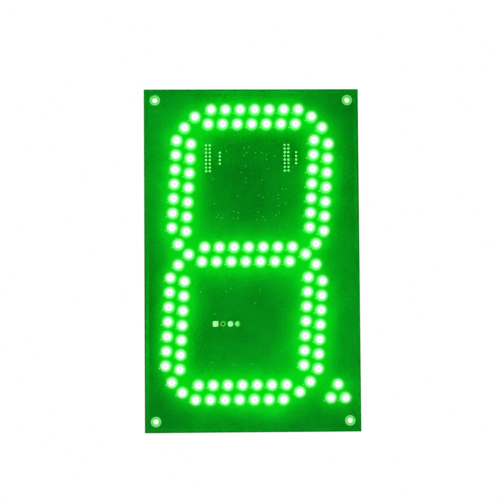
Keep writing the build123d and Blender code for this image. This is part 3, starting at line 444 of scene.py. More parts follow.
# painted light and shade patches on the mask, standing in for the diodes' glow: centre x and z, half width and height,
# and how much lighter or darker
PAINTED_LIGHT_PATCHES = [
    (-2.0, 58.0, 44.0, 50.0, -0.20), (-70.0, -45.0, 22.0, 75.0, -0.38), (72.0, -40.0, 26.0, 80.0, 0.26),
    (72.0, 55.0, 26.0, 70.0, -0.16), (-70.0, 60.0, 26.0, 75.0, 0.12), (-62.0, 106.0, 34.0, 36.0, 0.42),
    (10.0, -62.0, 34.0, 36.0, 0.18),
    (1.0, 84.0, 46.0, 15.0, -0.30), (35.0, 48.0, 15.0, 38.0, -0.26), (51.0, -44.0, 16.0, 38.0, 0.28),
    (55.0, 50.0, 10.0, 36.0, 0.20), (-62.0, -46.0, 10.0, 40.0, 0.20),
    (31.0, 78.0, 18.0, 26.0, -0.34), (-36.0, -62.0, 13.0, 40.0, -0.28),
    (15.0, -104.0, 38.0, 17.0, 0.26),
]


def solder_mask(name, lift=1.0, board=False, painted_patches_or_knee_toned=True):
    """Glossy green mask. The board itself also shows its sawn laminate edge and plated hole walls."""
    g = Mat(name, Specular_IOR_Level=0.35, Specular_Tint=(0.06, 1.0, 0.12, 1.0))
    cloud = g.noise(0.045, 4.0, 0.6)
    fine = g.noise(2.2, 3.0, 0.6)
    weave = weave_height(g)
    a = (0.0012 * lift, 0.150 * lift, 0.0100 * lift)
    b = (0.0020 * lift, 0.195 * lift, 0.0140 * lift)
    colour = g.mix(g.ramp(cloud, 0.3, 0.7), a, b)
    colour = g.mix(g.math("MULTIPLY", g.ramp(fine, 0.35, 0.75), 0.16), colour, (0.004 * lift, 0.24 * lift, 0.022 * lift))
    colour = g.mix(g.math("MULTIPLY", g.ramp(weave, -1.0, 1.0), 0.07), colour, (0.005, 0.26, 0.026))
    rough = g.ramp(g.noise(0.6, 4.0, 0.6), 0.3, 0.7, 0.20, 0.34)
    height = g.math("ADD", g.math("MULTIPLY", weave, 0.25), g.math("MULTIPLY", g.noise(1.3, 3.0, 0.5), 1.0))
    metallic = 0.0
    p = g.xyz(g.pos())
    if painted_patches_or_knee_toned:
        # painted light and shade: broad soft lighter and darker patches over the mask stand in for the diodes' glow
        # falling on it, fitted by level to the photo
        painted_patch_sum = None
        for cx, cz, sx, sz, amount in PAINTED_LIGHT_PATCHES:
            du = g.math("DIVIDE", g.math("ADD", p[0], -cx), sx)
            dv = g.math("DIVIDE", g.math("ADD", p[2], -cz), sz)
            far = g.math("SQRT", g.math("ADD", g.math("MULTIPLY", du, du), g.math("MULTIPLY", dv, dv)))
            painted_patch = g.ramp(far, 0.0, 1.0, amount, 0.0)
            painted_patch_sum = painted_patch if painted_patch_sum is None else g.math("ADD", painted_patch_sum, painted_patch)
        n = g.node("ShaderNodeVectorMath", operation="SCALE")
        g.link(colour, n.inputs[0])
        g.link(g.math("ADD", painted_patch_sum, 1.0), n.inputs["Scale"])
        colour = n.outputs[0]
    if board:
        n = g.normal()
        side = g.math("LESS_THAN", g.math("ABSOLUTE", n[1]), 0.5)
        outer = g.math("MAXIMUM",
                       g.math("GREATER_THAN", g.math("ABSOLUTE", p[0]), BOARD_W / 2 - 0.6),
                       g.math("GREATER_THAN", g.math("ABSOLUTE", p[2]), BOARD_H / 2 - 0.6))
        edge = g.math("MULTIPLY", side, outer)
        wall = g.math("MULTIPLY", side, g.math("SUBTRACT", 1.0, outer))
        # laminate: layers of glass cloth in resin, with a ragged sawn face
        squash = g.vec("MULTIPLY", g.pos(), (0.7, 9.0, 0.7))
        layers = g.noise(1.0, 4.0, 0.7, vector=squash)
        laminate = g.mix(g.ramp(layers, 0.3, 0.7), (0.10, 0.22, 0.045), (0.36, 0.42, 0.14))
        colour = g.mix(edge, colour, laminate)
        colour = g.mix(wall, colour, (0.62, 0.62, 0.60))
        rough = g.math("ADD", rough, g.math("MULTIPLY", edge, 0.42))
        height = g.math("ADD", height, g.math("MULTIPLY", g.math("MULTIPLY", edge, layers), 4.0))
        metallic = wall
        # the copper-free margin and the ground band inside it
        d = g.math("MINIMUM",
                   g.math("SUBTRACT", BOARD_W / 2, g.math("ABSOLUTE", p[0])),
                   g.math("SUBTRACT", BOARD_H / 2, g.math("ABSOLUTE", p[2])))
        flat = g.math("SUBTRACT", 1.0, side)
        bare = g.math("MULTIPLY", g.math("MULTIPLY", g.ramp(d, 1.15, 0.85), flat), 0.18)
        colour = g.mix(bare, colour, (0.002, 0.085, 0.008))
    g.set("Base Color", colour)
    g.set("Roughness", rough)
    g.set("Metallic", metallic)
    g.bump(height, 0.16, 0.00006)
    return g.m


def tinned(name, base=(0.70, 0.71, 0.69), rough=(0.22, 0.42), lumps=0.25, scale=1.6, metal=1.0, tip=None,
           face=None, pads=None, spec_tint=None):
    """Tin or solder: soft metal with a cast skin, dull grain and small lumps."""
    g = Mat(name, Metallic=metal)
    cloud = g.noise(scale, 4.0, 0.6)
    grain = g.noise(scale * 7, 3.0, 0.7)
    dark = tuple(c * 0.72 for c in base)
    colour = g.mix(g.ramp(cloud, 0.35, 0.7), dark, base)
    colour = g.mix(g.math("MULTIPLY", g.ramp(grain, 0.55, 0.8), 0.3), colour, tuple(c * 0.6 for c in base))
    if tip:
        # the end that stands out of the face has been wetted with solder
        colour = g.mix(g.ramp(g.xyz(g.pos())[1], -0.9, -0.3), tip, colour)
    if pads:
        # painted light and shade: each of the four power joints gets its own fitted colour on its front end only, near
        # white on some and dark green on others, standing in for highlights, the diodes' green glow and shade
        p = g.xyz(g.pos())
        # painted shade: the last one is darker and greener towards its right side
        last = POWER_CENTRE[0] + POWER_PITCH * 1.5
        painted_pad_light = g.mix(g.ramp(p[0], last - 0.1, last + 1.5), pads[3], pads[4])
        for i in (2, 1, 0):
            split = POWER_CENTRE[0] + POWER_PITCH * (i - 1)
            painted_pad_light = g.mix(g.math("GREATER_THAN", p[0], split), pads[i], painted_pad_light)
        front = g.math("LESS_THAN", p[1], -1.2)
        painted_pad_light = g.mix(front, (1.0, 1.0, 1.0), painted_pad_light)
        colour = g.vec("MULTIPLY", colour, painted_pad_light)
    if spec_tint:
        g.set("Specular Tint", spec_tint)
        g.set("Specular IOR Level", 0.35)
    if face:
        # painted light: the front of the tin gets its own fitted colour, lighter on the solder joints as a painted
        # highlight and green on the mounting pads as painted glow from the diodes
        colour = g.mix(g.ramp(g.xyz(g.pos())[1], -1.5, -1.2), face, colour)
    g.set("Base Color", colour)
    g.set("Roughness", g.ramp(g.math("ADD", cloud, g.math("MULTIPLY", grain, 0.4)), 0.45, 0.95, *rough))
    g.bump(g.math("ADD", cloud, g.math("MULTIPLY", grain, 0.35)), lumps, 0.0001)
    return g.m


def moulded(name, base, rough=(0.38, 0.52), grain=6.0, strength=0.22, spec=0.5, sss=0.0, tint=1.25, pocket=None):
    """Moulded plastic: spark-eroded grain, faint flow marks, slight sheen changes."""
    g = Mat(name, Specular_IOR_Level=spec)
    cloud = g.noise(0.35, 4.0, 0.6)
    flow = g.noise(1.0, 3.0, 0.6, vector=g.vec("MULTIPLY", g.pos(), (0.25, 1.4, 0.25)), distortion=0.6)
    fine = g.noise(grain, 2.0, 0.6)
    light = tuple(min(1.0, c * tint) for c in base)
    colour = g.mix(g.ramp(cloud, 0.3, 0.7), base, light)
    colour = g.mix(g.math("MULTIPLY", g.ramp(flow, 0.5, 0.8), 0.25), colour, tuple(c * 0.8 for c in base))
    if pocket:
        # painted shade: the blind pocket behind the board's open hole is coloured dark green, standing in for the shade
        # down in it, to look as dark as in the photo
        x, z, r, depth = pocket
        p = g.xyz(g.pos())
        dx, dz = g.math("ADD", p[0], -x), g.math("ADD", p[2], -z)
        near = g.math("LESS_THAN", g.math("ADD", g.math("MULTIPLY", dx, dx), g.math("MULTIPLY", dz, dz)), r * r)
        inside = g.math("MULTIPLY", near, g.ramp(p[1], depth + 0.1, depth + 0.3, 1.0, 0.0))
        colour = g.mix(inside, colour, (0.004, 0.16, 0.010))
    g.set("Base Color", colour)
    g.set("Roughness", g.ramp(g.math("ADD", g.math("MULTIPLY", fine, 0.5), g.math("MULTIPLY", cloud, 0.5)), 0.3, 0.7, *rough))
    if sss:
        g.set("Subsurface Weight", sss)
        g.bsdf.inputs["Subsurface Radius"].default_value = (1.0, 0.9, 0.7)
        g.bsdf.inputs["Subsurface Scale"].default_value = 0.0006
    g.bump(fine, strength, 0.00005)
    return g.m


LED_LEVEL = 18.0
SIDE_FOOT, CORE_EXTRA = 0.10, 0.8


def lit_epoxy(name):
    """Green diode body, lit from inside: the dome is brightest, the foot is only tinted by the glow."""
    g = Mat(name, Roughness=0.10, Specular_IOR_Level=0.5, IOR=1.53)
    p = g.xyz(g.pos())
    n = g.normal()
    # height above the board's face
    h = g.math("SUBTRACT", g.math("MULTIPLY", p[1], -1.0), BOARD_T)
    facing = g.math("MULTIPLY", n[1], -1.0)
    # the side glows more towards its top; the dome is far brighter, most of all over the crystal
    side = g.ramp(h, 0.3, 4.8, SIDE_FOOT, 1.0)
    dome = g.math("MULTIPLY", g.ramp(h, 5.2, 7.2), g.ramp(facing, 0.02, 0.42))
    core = g.math("MULTIPLY", dome, g.ramp(facing, 0.80, 0.985))
    swirl = g.ramp(g.noise(0.9, 3.0, 0.5), 0.3, 0.7, 0.94, 1.05)
    # the decimal point's three diodes glow a little less at their sides than the bars do
    point = g.math("MULTIPLY", g.math("GREATER_THAN", p[0], 50.0), g.math("LESS_THAN", p[2], -80.0))
    side = g.math("MULTIPLY", side, g.math("SUBTRACT", 1.0, g.math("MULTIPLY", point, 0.13)))
    level = g.math("ADD", side, g.math("MULTIPLY", core, CORE_EXTRA))
    # painted light and shade: the body's own colour is darker at its foot and lighter towards its dome, following the
    # glow inside
    g.set("Base Color", g.mix(g.ramp(h, 0.0, 5.0), (0.01, 0.22, 0.03), (0.03, 0.45, 0.08)))
    g.set("Emission Color", g.mix(dome, (0.0035, 1.0, 0.008), (0.075, 1.0, 0.083)))
    g.set("Emission Strength", g.math("MULTIPLY", g.math("MULTIPLY", level, swirl), LED_LEVEL))
    g.bump(g.noise(2.0, 2.0, 0.5), 0.05, 0.00005)
    return g.m




M = {}
M["solder_mask"] = solder_mask("solder_mask_board", board=True)
M["mask_over_copper"] = solder_mask("solder_mask_over_copper", lift=1.22, painted_patches_or_knee_toned=False)
M["mask_over_front_tracks"] = solder_mask("solder_mask_front_tracks", lift=1.10)
M["mask_over_back_tracks"] = solder_mask("solder_mask_back_tracks", lift=1.95)
M["tin_plate"] = tinned("tin_plate", (0.74, 0.76, 0.73), (0.28, 0.44), 0.10, 0.8, metal=0.75)
# solder whose lighter front is a painted highlight
M["solder"] = tinned("solder", (0.70, 0.71, 0.69), (0.22, 0.40), 0.24, 1.8, metal=0.5, face=(0.97, 0.96, 0.96))
M["lead_frame"] = tinned("lead_frame", (0.66, 0.66, 0.64), (0.22, 0.38), 0.08, 1.2)
M["gold"] = tinned("gold", (0.95, 0.62, 0.22), (0.18, 0.30), 0.05, 6.0, metal=0.9, tip=(0.92, 0.93, 0.90))
# vias are tented: the mask runs over their rings
M["tented_ring"] = tinned("tented_ring", (0.12, 0.57, 0.14), (0.25, 0.40), 0.08, 3.0, metal=0.0,
                          spec_tint=(0.06, 1.0, 0.12, 1.0))
# painted light and shade for the power joints' front ends: one colour for each of the four joints, and one more for the
# darker right side of the fourth
POWER_PAINTED_LIGHT = ((1.0, 1.0, 0.97), (0.103, 0.62, 0.118), (0.93, 0.98, 0.95), (0.38, 0.90, 0.40),
              (0.03, 0.42, 0.05))
M["power_solder"] = tinned("power_solder", (0.98, 0.98, 0.95), (0.26, 0.42), 0.22, 1.8, metal=0.12, pads=POWER_PAINTED_LIGHT)
M["power_tin"] = tinned("power_tin", (0.96, 0.97, 0.94), (0.28, 0.44), 0.10, 0.8, metal=0.15, pads=POWER_PAINTED_LIGHT)
# the mounting pads: tin whose green front is painted glow from the diodes
M["glow_painted_tin"] = tinned("glow_painted_tin", (0.74, 0.76, 0.73), (0.28, 0.44), 0.10, 0.8, metal=0.75, face=(0.36, 0.74, 0.36))
M["led_epoxy"] = lit_epoxy("led_epoxy")
crystal = Mat("led_crystal", Roughness=0.3)
crystal.set("Base Color", crystal.mix(crystal.ramp(crystal.noise(8.0), 0.3, 0.7), (0.1, 0.5, 0.2), (0.2, 0.7, 0.3)))
crystal.set("Emission Color", (0.3, 1.0, 0.35))
crystal.set("Emission Strength", 20.0)
M["led_crystal"] = crystal.m
M["black_plastic"] = moulded("black_plastic", (0.014, 0.014, 0.015), (0.34, 0.50), 5.0, 0.30)
M["white_nylon"] = moulded("white_nylon", (0.74, 0.72, 0.65), (0.34, 0.48), 3.0, 0.12, sss=0.25, tint=1.08)
# the connector shell, with painted shade in the pocket behind its open hole
M["shade_painted_nylon"] = moulded("shade_painted_nylon", (0.74, 0.72, 0.65), (0.34, 0.48), 3.0, 0.12, sss=0.25, tint=1.08, spec=0.15,
                             pocket=(POWER_CENTRE[0] - POWER_PITCH / 2, POWER_CENTRE[1], 1.0, 2.2))
M["chip_epoxy"] = moulded("chip_epoxy", (0.020, 0.020, 0.021), (0.52, 0.68), 9.0, 0.45, spec=0.4)
M["resistor_film"] = moulded("resistor_film", (0.016, 0.016, 0.018), (0.20, 0.32), 7.0, 0.10, spec=0.6)
M["tan_ceramic"] = moulded("tan_ceramic", (0.40, 0.27, 0.15), (0.40, 0.55), 12.0, 0.20, tint=1.15)


def can_metal():
    """Drawn aluminium can: fine turned lines and a printed half-moon on its top."""
    g = Mat("can_aluminium")
    p = g.xyz(g.pos())
    n = g.normal()
    brushed = g.noise(1.0, 4.0, 0.7, vector=g.vec("MULTIPLY", g.pos(), (0.6, 14.0, 0.6)))
    fine = g.noise(9.0, 2.0, 0.6)
    colour = g.mix(g.ramp(brushed, 0.3, 0.7), (0.62, 0.63, 0.64), (0.80, 0.81, 0.82))
    top = g.math("GREATER_THAN", n[1], 0.7)
    ink = None
    for cx, cz in CANS:
        dx = g.math("SUBTRACT", p[0], cx)
        dz = g.math("SUBTRACT", p[2], cz)
        inside = g.math("LESS_THAN", g.math("ADD", g.math("MULTIPLY", dx, dx), g.math("MULTIPLY", dz, dz)), 3.3 * 3.3)
        moon = g.math("MULTIPLY", inside, g.math("LESS_THAN", dx, -1.35))
        ink = moon if ink is None else g.math("MAXIMUM", ink, moon)
    ink = g.math("MULTIPLY", ink, top)
    g.set("Base Color", g.mix(ink, colour, (0.015, 0.015, 0.018)))
    g.set("Metallic", g.math("SUBTRACT", 1.0, ink))
    g.set("Roughness", g.math("ADD", g.ramp(brushed, 0.3, 0.7, 0.24, 0.36), g.math("MULTIPLY", ink, 0.22)))
    g.bump(g.math("ADD", brushed, g.math("MULTIPLY", fine, 0.3)), 0.10, 0.00005)
    return g.m


M["can_aluminium"] = can_metal()

special = {
    "plated_vias": "tented_ring", "mounting_pads": "glow_painted_tin", "power_connector_shell": "shade_painted_nylon",
    "power_pads": "power_tin", "power_solder_joints": "power_solder", "power_connector_pins": "power_tin",
}
slot_of = {s["node"]: s.get("material_slot", s["node"]) for s in frame["record"]["subparts"]}
for node_name, obj in frame["nodes"].items():
    mats = obj.data.materials
    new = M[special.get(node_name, slot_of[node_name])]
    if len(mats):
        for i in range(len(mats)):
            mats[i] = new
    else:
        mats.append(new)


# ---------------------------------------------------------------- thin printed and etched pieces
class Sheet:
    """Collects flat prisms that lie on the board's front or back face, and makes one mesh."""

    def __init__(self, face, height, lift=0.0):
        # face "front" lies on y = -BOARD_T and faces -Y; "back" lies on y = 0 and faces +Y
        self.front = face == "front"
        base = -BOARD_T - lift if self.front else lift
        self.y0, self.y1 = base, base + (-height if self.front else height)
        self.v, self.f = [], []

    def prism(self, outline):
        """outline: points (x, z) in order round a convex or simple shape."""
        area = sum(a[0] * b[1] - b[0] * a[1] for a, b in zip(outline, outline[1:] + outline[:1]))
        pts = outline if area > 0 else outline[::-1]
        n, k = len(pts), len(self.v)
        self.v += [(x, self.y0, z) for x, z in pts] + [(x, self.y1, z) for x, z in pts]
        low, high = list(range(k, k + n)), list(range(k + n, k + 2 * n))
        # with X right and Z up, a counter-clockwise loop has its normal along -Y
        top, bottom = (high, low[::-1]) if self.front else (high[::-1], low)
        self.f += [top, bottom]
        for i in range(n):
            j = (i + 1) % n
            quad = [k + i, k + j, k + n + j, k + n + i]
            self.f.append(quad if self.front else quad[::-1])

    def band(self, left, right, closed=False):
        """Strip between two lines of points, as a row of joined quads with walls."""
        n, k = len(left), len(self.v)
        for y in (self.y0, self.y1):
            for line in (left, right):
                self.v += [(x, y, z) for x, z in line]
        a0, b0, a1, b1 = k, k + n, k + 2 * n, k + 3 * n
        faces = []
        m = n if closed else n - 1
        for i in range(m):
            j = (i + 1) % n
            faces += [[a1 + i, a1 + j, b1 + j, b1 + i], [a0 + i, b0 + i, b0 + j, a0 + j],
                      [a0 + i, a0 + j, a1 + j, a1 + i], [b0 + i, b1 + i, b1 + j, b0 + j]]
        if not closed:
            e = n - 1
            faces += [[a0, a1, b1, b0], [a0 + e, b0 + e, b1 + e, a1 + e]]
        self.f += faces if not self.front else [q[::-1] for q in faces]

    def ring(self, c, r0, r1, n=36, a0=0.0, a1=2 * math.pi):
        closed = abs(a1 - a0 - 2 * math.pi) < 1e-6
        m = n if closed else n + 1
        ang = [a0 + (a1 - a0) * i / n for i in range(m)]
        inner = [(c[0] + r0 * math.cos(t), c[1] + r0 * math.sin(t)) for t in ang]
        outer = [(c[0] + r1 * math.cos(t), c[1] + r1 * math.sin(t)) for t in ang]
        self.band(inner, outer, closed)

    def dot(self, c, r, n=16):
        self.prism([(c[0] + r * math.cos(2 * math.pi * i / n), c[1] + r * math.sin(2 * math.pi * i / n)) for i in range(n)])

    def line(self, points, width, closed=False):
        """Mitred strip along a line of points."""
        pts = [Vector(p) for p in points]
        n = len(pts)
        left, right = [], []
        for i, p in enumerate(pts):
            a = pts[(i - 1) % n] if (closed or i > 0) else None
            b = pts[(i + 1) % n] if (closed or i < n - 1) else None
            d0 = (p - a).normalized() if a is not None else None
            d1 = (b - p).normalized() if b is not None else None
            if d0 is None:
                d0 = d1
            if d1 is None:
                d1 = d0
            n0, n1 = Vector((-d0.y, d0.x)), Vector((-d1.y, d1.x))
            m = (n0 + n1)
            m = m.normalized() if m.length > 1e-6 else n0
            k = (width / 2) / max(0.35, m.dot(n1))
            left.append((p.x + m.x * k, p.y + m.y * k))
            right.append((p.x - m.x * k, p.y - m.y * k))
        self.band(left, right, closed)

    def make(self, name, material):
        mesh = bpy.data.meshes.new(name)
        mesh.from_pydata([(x * MM, y * MM, z * MM) for x, y, z in self.v], [], self.f)
        mesh.validate()
        mesh.update()
        obj = bpy.data.objects.new(name, mesh)
        bpy.context.scene.collection.objects.link(obj)
        mesh.materials.append(material)
        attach(obj, "root")
        return obj


def rectangle(cx, cz, w, h):
    return [(cx - w / 2, cz - h / 2), (cx + w / 2, cz - h / 2), (cx + w / 2, cz + h / 2), (cx - w / 2, cz + h / 2)]


ink = Mat("silkscreen_ink", Roughness=0.55, Specular_IOR_Level=0.3)
ink.set("Base Color", ink.mix(ink.ramp(ink.noise(3.0, 4.0, 0.7), 0.35, 0.75), (0.80, 0.81, 0.78), (0.62, 0.66, 0.60)))
ink.bump(ink.noise(7.0, 2.0, 0.6), 0.15, 0.00004)
M["ink"] = ink.m

# front: a small pale ink dot at the lower left of each diode
front_ink = Sheet("front", 0.045)
for x, z in ALL_LEDS:
    front_ink.dot((x - 4.3, z - 1.8), 0.30, 14)
front_ink.make("front_pale_dots", M["ink"])

# front: a thin circle round each flange
circles = Sheet("front", 0.045)
for x, z in ALL_LEDS:
    circles.ring((x, z), 3.18, 3.28, 32)
circles.make("front_diode_outlines", M["ink"])

# both faces: tracks and the mask that closes each via
tracks = Sheet("front", 0.035)
for width, points in FRONT_TRACKS:
    tracks.line(points, width)
tracks.make("front_tracks", M["mask_over_front_tracks"])
tracks = Sheet("back", 0.035)
for width, points in BACK_TRACKS:
    tracks.line(points, width)
tracks.make("back_tracks", M["mask_over_back_tracks"])
for face in ("front", "back"):
    tents = Sheet(face, 0.02, lift=0.05)
    for at in VIAS:
        tents.dot(at, 0.37, 18)
    tents.make(face + "_via_tents", M["tented_ring"])

# front: ground track just inside the edge
band = Sheet("front", 0.035)
for inset, width in ((2.05, 2.0),):
    band.line(rectangle(0, 0, BOARD_W - 2 * inset, BOARD_H - 2 * inset), width, closed=True)
band.make("front_ground_track", M["mask_over_copper"])

# back: outlines of the parts, with marks for their first pins and poles
back_ink = Sheet("back", 0.05)


def frame_line(cx, cz, w, h, width=0.18):
    back_ink.line(rectangle(cx, cz, w, h), width, closed=True)


for (cx, cz), key in ((IN_HEADER, -1), (OUT_HEADER, -1)):
    frame_line(cx, cz, 9.7, 28.9)
    tx, tz = cx + 5.6, cz + 8.89
    back_ink.prism([(tx, tz), (tx + 1.3, tz - 0.75), (tx + 1.3, tz + 0.75)])
for cx, cz in (IN_STRIP, OUT_STRIP):
    frame_line(cx, cz, 3.2, 10.9)
for cx, cz in (BUFFER_AT, DRIVER_AT):
    for s in (-1, 1):
        back_ink.line([(cx - 5.9, cz + s * 6.6), (cx - 5.9, cz + s * 7.3), (cx + 5.9, cz + s * 7.3), (cx + 5.9, cz + s * 6.6)], 0.18)
    back_ink.dot((cx + 6.7, cz + 5.7), 0.35, 18)
for cx, cz in FLAT_RESISTORS:
    frame_line(cx, cz, 4.9, 2.6, 0.16)
for cx, cz in UPRIGHT_RESISTORS:
    frame_line(cx, cz, 2.6, 4.9, 0.16)
for cx, cz in CERAMICS:
    frame_line(cx, cz, 3.8, 2.1, 0.16)
for cx, cz in CANS:
    back_ink.line([(cx - 4.6, cz + 1.3), (cx - 4.6, cz + 4.6), (cx + 3.0, cz + 4.6), (cx + 4.6, cz + 3.0), (cx + 4.6, cz + 1.3)], 0.18)
    back_ink.line([(cx - 4.6, cz - 1.3), (cx - 4.6, cz - 4.6), (cx + 3.0, cz - 4.6), (cx + 4.6, cz - 3.0), (cx + 4.6, cz - 1.3)], 0.18)
    back_ink.line([(cx + 5.9, cz + 2.1), (cx + 5.9, cz + 3.7)], 0.22)
    back_ink.line([(cx + 5.1, cz + 2.9), (cx + 6.7, cz + 2.9)], 0.22)
frame_line(REGULATOR_AT[0], REGULATOR_AT[1], 7.6, 3.9)
px, pz = POWER_CENTRE
back_ink.line([(px - 11.8, pz - 5.0), (px + 11.8, pz - 5.0), (px + 11.8, pz + 2.3), (px + 9.1, pz + 5.0),
               (px - 9.1, pz + 5.0), (px - 11.8, pz + 2.3)], 0.18, closed=True)
back_ink.prism([(px + 12.6, pz), (px + 14.0, pz - 0.8), (px + 14.0, pz + 0.8)])
back_ink.make("back_outlines", M["ink"])


# ---------------------------------------------------------------- studio
def area(name, at, size, power, colour=(1, 1, 1), aim=(0, 0, 0)):
    data = bpy.data.lights.new(name, "AREA")
    data.shape = "RECTANGLE"
    data.size, data.size_y = size
    data.energy = power
    data.color = colour
    obj = bpy.data.objects.new(name, data)
    obj.location = at
    obj.rotation_euler = (Vector(aim) - Vector(at)).to_track_quat("-Z", "Y").to_euler()
    obj.visible_camera = False
    bpy.context.scene.collection.objects.link(obj)
    return obj


area("soft_back_left", (-0.9, 1.3, 0.7), (1.0, 1.0), 16)
area("soft_back_right", (1.1, 1.2, 0.3), (0.9, 1.2), 9)
area("soft_top", (0.0, 0.35, 1.3), (1.4, 1.0), 9)
area("soft_key", (-0.80, -1.05, 0.85), (0.6, 0.6), 8)

world = bpy.data.worlds.new("studio")
bpy.context.scene.world = world
world.use_nodes = True
nt = world.node_tree
nt.nodes.clear()
out = nt.nodes.new("ShaderNodeOutputWorld")
path = nt.nodes.new("ShaderNodeLightPath")
white = nt.nodes.new("ShaderNodeBackground")
white.inputs["Color"].default_value = (1, 1, 1, 1)
white.inputs["Strength"].default_value = 1.02
dim = nt.nodes.new("ShaderNodeBackground")
coord = nt.nodes.new("ShaderNodeTexCoord")
split = nt.nodes.new("ShaderNodeSeparateXYZ")
nt.links.new(coord.outputs["Generated"], split.inputs[0])


def by_direction(lo, hi, below, above):
    """Blends two colours by how far a direction leans towards the object's back."""
    t = nt.nodes.new("ShaderNodeMapRange")
    t.interpolation_type = "SMOOTHSTEP"
    t.inputs[1].default_value, t.inputs[2].default_value = lo, hi
    nt.links.new(split.outputs[1], t.inputs[0])
    n = nt.nodes.new("ShaderNodeMix")
    n.data_type = "RGBA"
    nt.links.new(t.outputs[0], n.inputs[0])
    for i, v in ((6, below), (7, above)):
        if isinstance(v, bpy.types.NodeSocket):
            nt.links.new(v, n.inputs[i])
        else:
            n.inputs[i].default_value = (*v, 1.0)
    return n.outputs[2]


# in front of the digit hangs its own green glow; behind it is a neutral grey room
front_glow = by_direction(-0.96, -0.74, (0.14, 1.10, 0.15), (0.05, 0.23, 0.055))
nt.links.new(by_direction(-0.30, 0.30, front_glow, (0.42, 0.43, 0.44)), dim.inputs["Color"])
dim.inputs["Strength"].default_value = 1.0
mixed = nt.nodes.new("ShaderNodeMixShader")
nt.links.new(path.outputs["Is Camera Ray"], mixed.inputs[0])
nt.links.new(dim.outputs[0], mixed.inputs[1])
nt.links.new(white.outputs[0], mixed.inputs[2])
nt.links.new(mixed.outputs[0], out.inputs["Surface"])

floor_mesh = bpy.data.meshes.new("floor")
floor_mesh.from_pydata([(-2.2, -2.2, -0.30), (2.2, -2.2, -0.30), (2.2, 0.95, -0.30), (-2.2, 0.95, -0.30)], [], [(0, 1, 2, 3)])
floor = bpy.data.objects.new("floor", floor_mesh)
bpy.context.scene.collection.objects.link(floor)
pale = Mat("floor_paint", Roughness=0.8, Specular_IOR_Level=0.2)
pale.set("Base Color", pale.mix(pale.ramp(pale.noise(0.01, 3.0, 0.5), 0.3, 0.7), (0.92, 0.85, 0.90), (0.95, 0.88, 0.93)))
# it fades into the white room on all sides
spot = pale.xyz(pale.pos())
fade = pale.math("MULTIPLY", pale.ramp(spot[1], 350.0, 900.0, 1.0, 0.0),
                 pale.ramp(pale.math("ABSOLUTE", spot[0]), 450.0, 1500.0, 1.0, 0.0))
pale.set("Alpha", pale.math("MULTIPLY", fade, pale.ramp(spot[1], -1500.0, -450.0)))
floor_mesh.materials.append(pale.m)

# ---------------------------------------------------------------- picture finish
scene = bpy.context.scene
scene.view_settings.view_transform = "Standard"
scene.view_settings.look = "None"
scene.use_nodes = True
ct = scene.node_tree
ct.nodes.clear()


CLIP, HALO = (1.66, 1.5, 1.71), 4.2
HOT_LO, HOT_HI = 1.6, 4.0
KNEE, KNEE_ROOM = 0.58, 0.14
FLOOD_LO, FLOOD_HI, FLOOD_DIP, FLOOD_BLUR = 21.0, 31.0, 0.20, 2.8


def cnode(kind, links=(), **props):
    n = ct.nodes.new(kind)
    for k, v in props.items():
        setattr(n, k, v)
    for i, v in links:
        if isinstance(v, bpy.types.NodeSocket):
            ct.links.new(v, n.inputs[i])
        else:
            n.inputs[i].default_value = v
    return n.outputs


def cmath(op, a, b, clamp=False):
    return cnode("CompositorNodeMath", [(0, a), (1, b)], operation=op, use_clamp=clamp)[0]


def cmul(image, value):
    return cnode("CompositorNodeMixRGB", [(0, 1.0), (1, image), (2, value)], blend_type="MULTIPLY")[0]


# Halation: what is far brighter than paper white spreads over a pixel or two, as in a lens.
shot = cnode("CompositorNodeRLayers")["Image"]
green = cnode("CompositorNodeSeparateColor", [(0, shot)])["Green"]
hot = cnode("CompositorNodeMapRange", [(0, green), (1, HOT_LO), (2, HOT_HI), (3, 0.0), (4, 1.0)], use_clamp=True)[0]
cool = cmath("SUBTRACT", 1.0, hot)
bright = cmul(shot, hot)
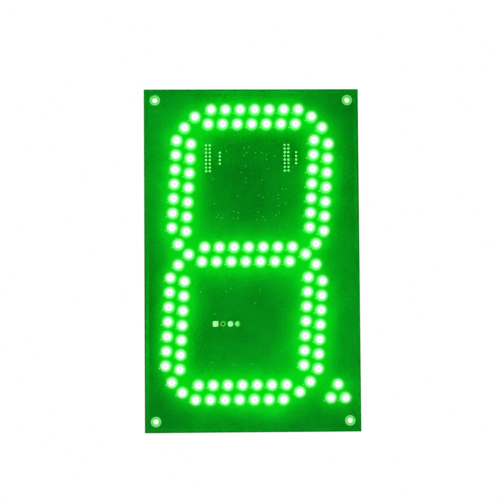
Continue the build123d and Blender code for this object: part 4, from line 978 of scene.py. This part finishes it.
# Pure green levels off before it reaches white level, as it does on a sensor.
shot_rgb = cnode("CompositorNodeSeparateColor", [(0, shot)])
share = cmath("DIVIDE", shot_rgb["Red"], cmath("MAXIMUM", shot_rgb["Green"], 0.001))
pure = cnode("CompositorNodeMapRange", [(0, share), (1, 0.05), (2, 0.14), (3, 1.0), (4, 0.0)], use_clamp=True)[0]
surface = cnode("CompositorNodeMapRange", [(0, green), (1, 1.25), (2, 1.65), (3, 1.0), (4, 0.0)], use_clamp=True)[0]
pure = cmath("MULTIPLY", pure, surface)
over = cmath("MAXIMUM", cmath("SUBTRACT", shot_rgb["Green"], KNEE), 0.0)
bent = cmath("ADD", cmath("MINIMUM", shot_rgb["Green"], KNEE), cmath("DIVIDE", cmath("MULTIPLY", over, KNEE_ROOM), cmath("ADD", over, KNEE_ROOM)))
held = cmath("ADD", shot_rgb["Green"], cmath("MULTIPLY", pure, cmath("SUBTRACT", bent, shot_rgb["Green"])))
painted_patches_or_knee_toned = cnode("CompositorNodeCombineColor", [(0, shot_rgb["Red"]), (1, held), (2, shot_rgb["Blue"])])["Image"]
rest = cmul(painted_patches_or_knee_toned, cool)
parts = cnode("CompositorNodeSeparateColor", [(0, bright)])
clipped = cnode("CompositorNodeCombineColor",
                [(i, cmath("MINIMUM", parts[c], k)) for i, (c, k) in enumerate(zip(("Red", "Green", "Blue"), CLIP))])["Image"]
soft = cnode("CompositorNodeBlur", [(0, clipped), (1, (HALO, HALO))], filter_type="GAUSS")[0]
lit = cnode("CompositorNodeMixRGB", [(0, 1.0), (1, rest), (2, soft)], blend_type="ADD")[0]
# Where the sensor is fully flooded its green channel gives way a little.
core = cnode("CompositorNodeMapRange", [(0, green), (1, FLOOD_LO), (2, FLOOD_HI), (3, 0.0), (4, 1.0)], use_clamp=True)[0]
flooded = cnode("CompositorNodeBlur", [(0, core), (1, (FLOOD_BLUR, FLOOD_BLUR))], filter_type="GAUSS")[0]
rgb = cnode("CompositorNodeSeparateColor", [(0, lit)])
capped = cmath("MINIMUM", rgb["Green"], 1.0)
dip = cmath("SUBTRACT", capped, cmath("MULTIPLY", flooded, FLOOD_DIP))
final = cnode("CompositorNodeCombineColor", [(0, rgb["Red"]), (1, dip), (2, rgb["Blue"])])["Image"]
cnode("CompositorNodeComposite", [(0, final)])

# ---------------------------------------------------------------- finish
bpy.context.view_layer.update()
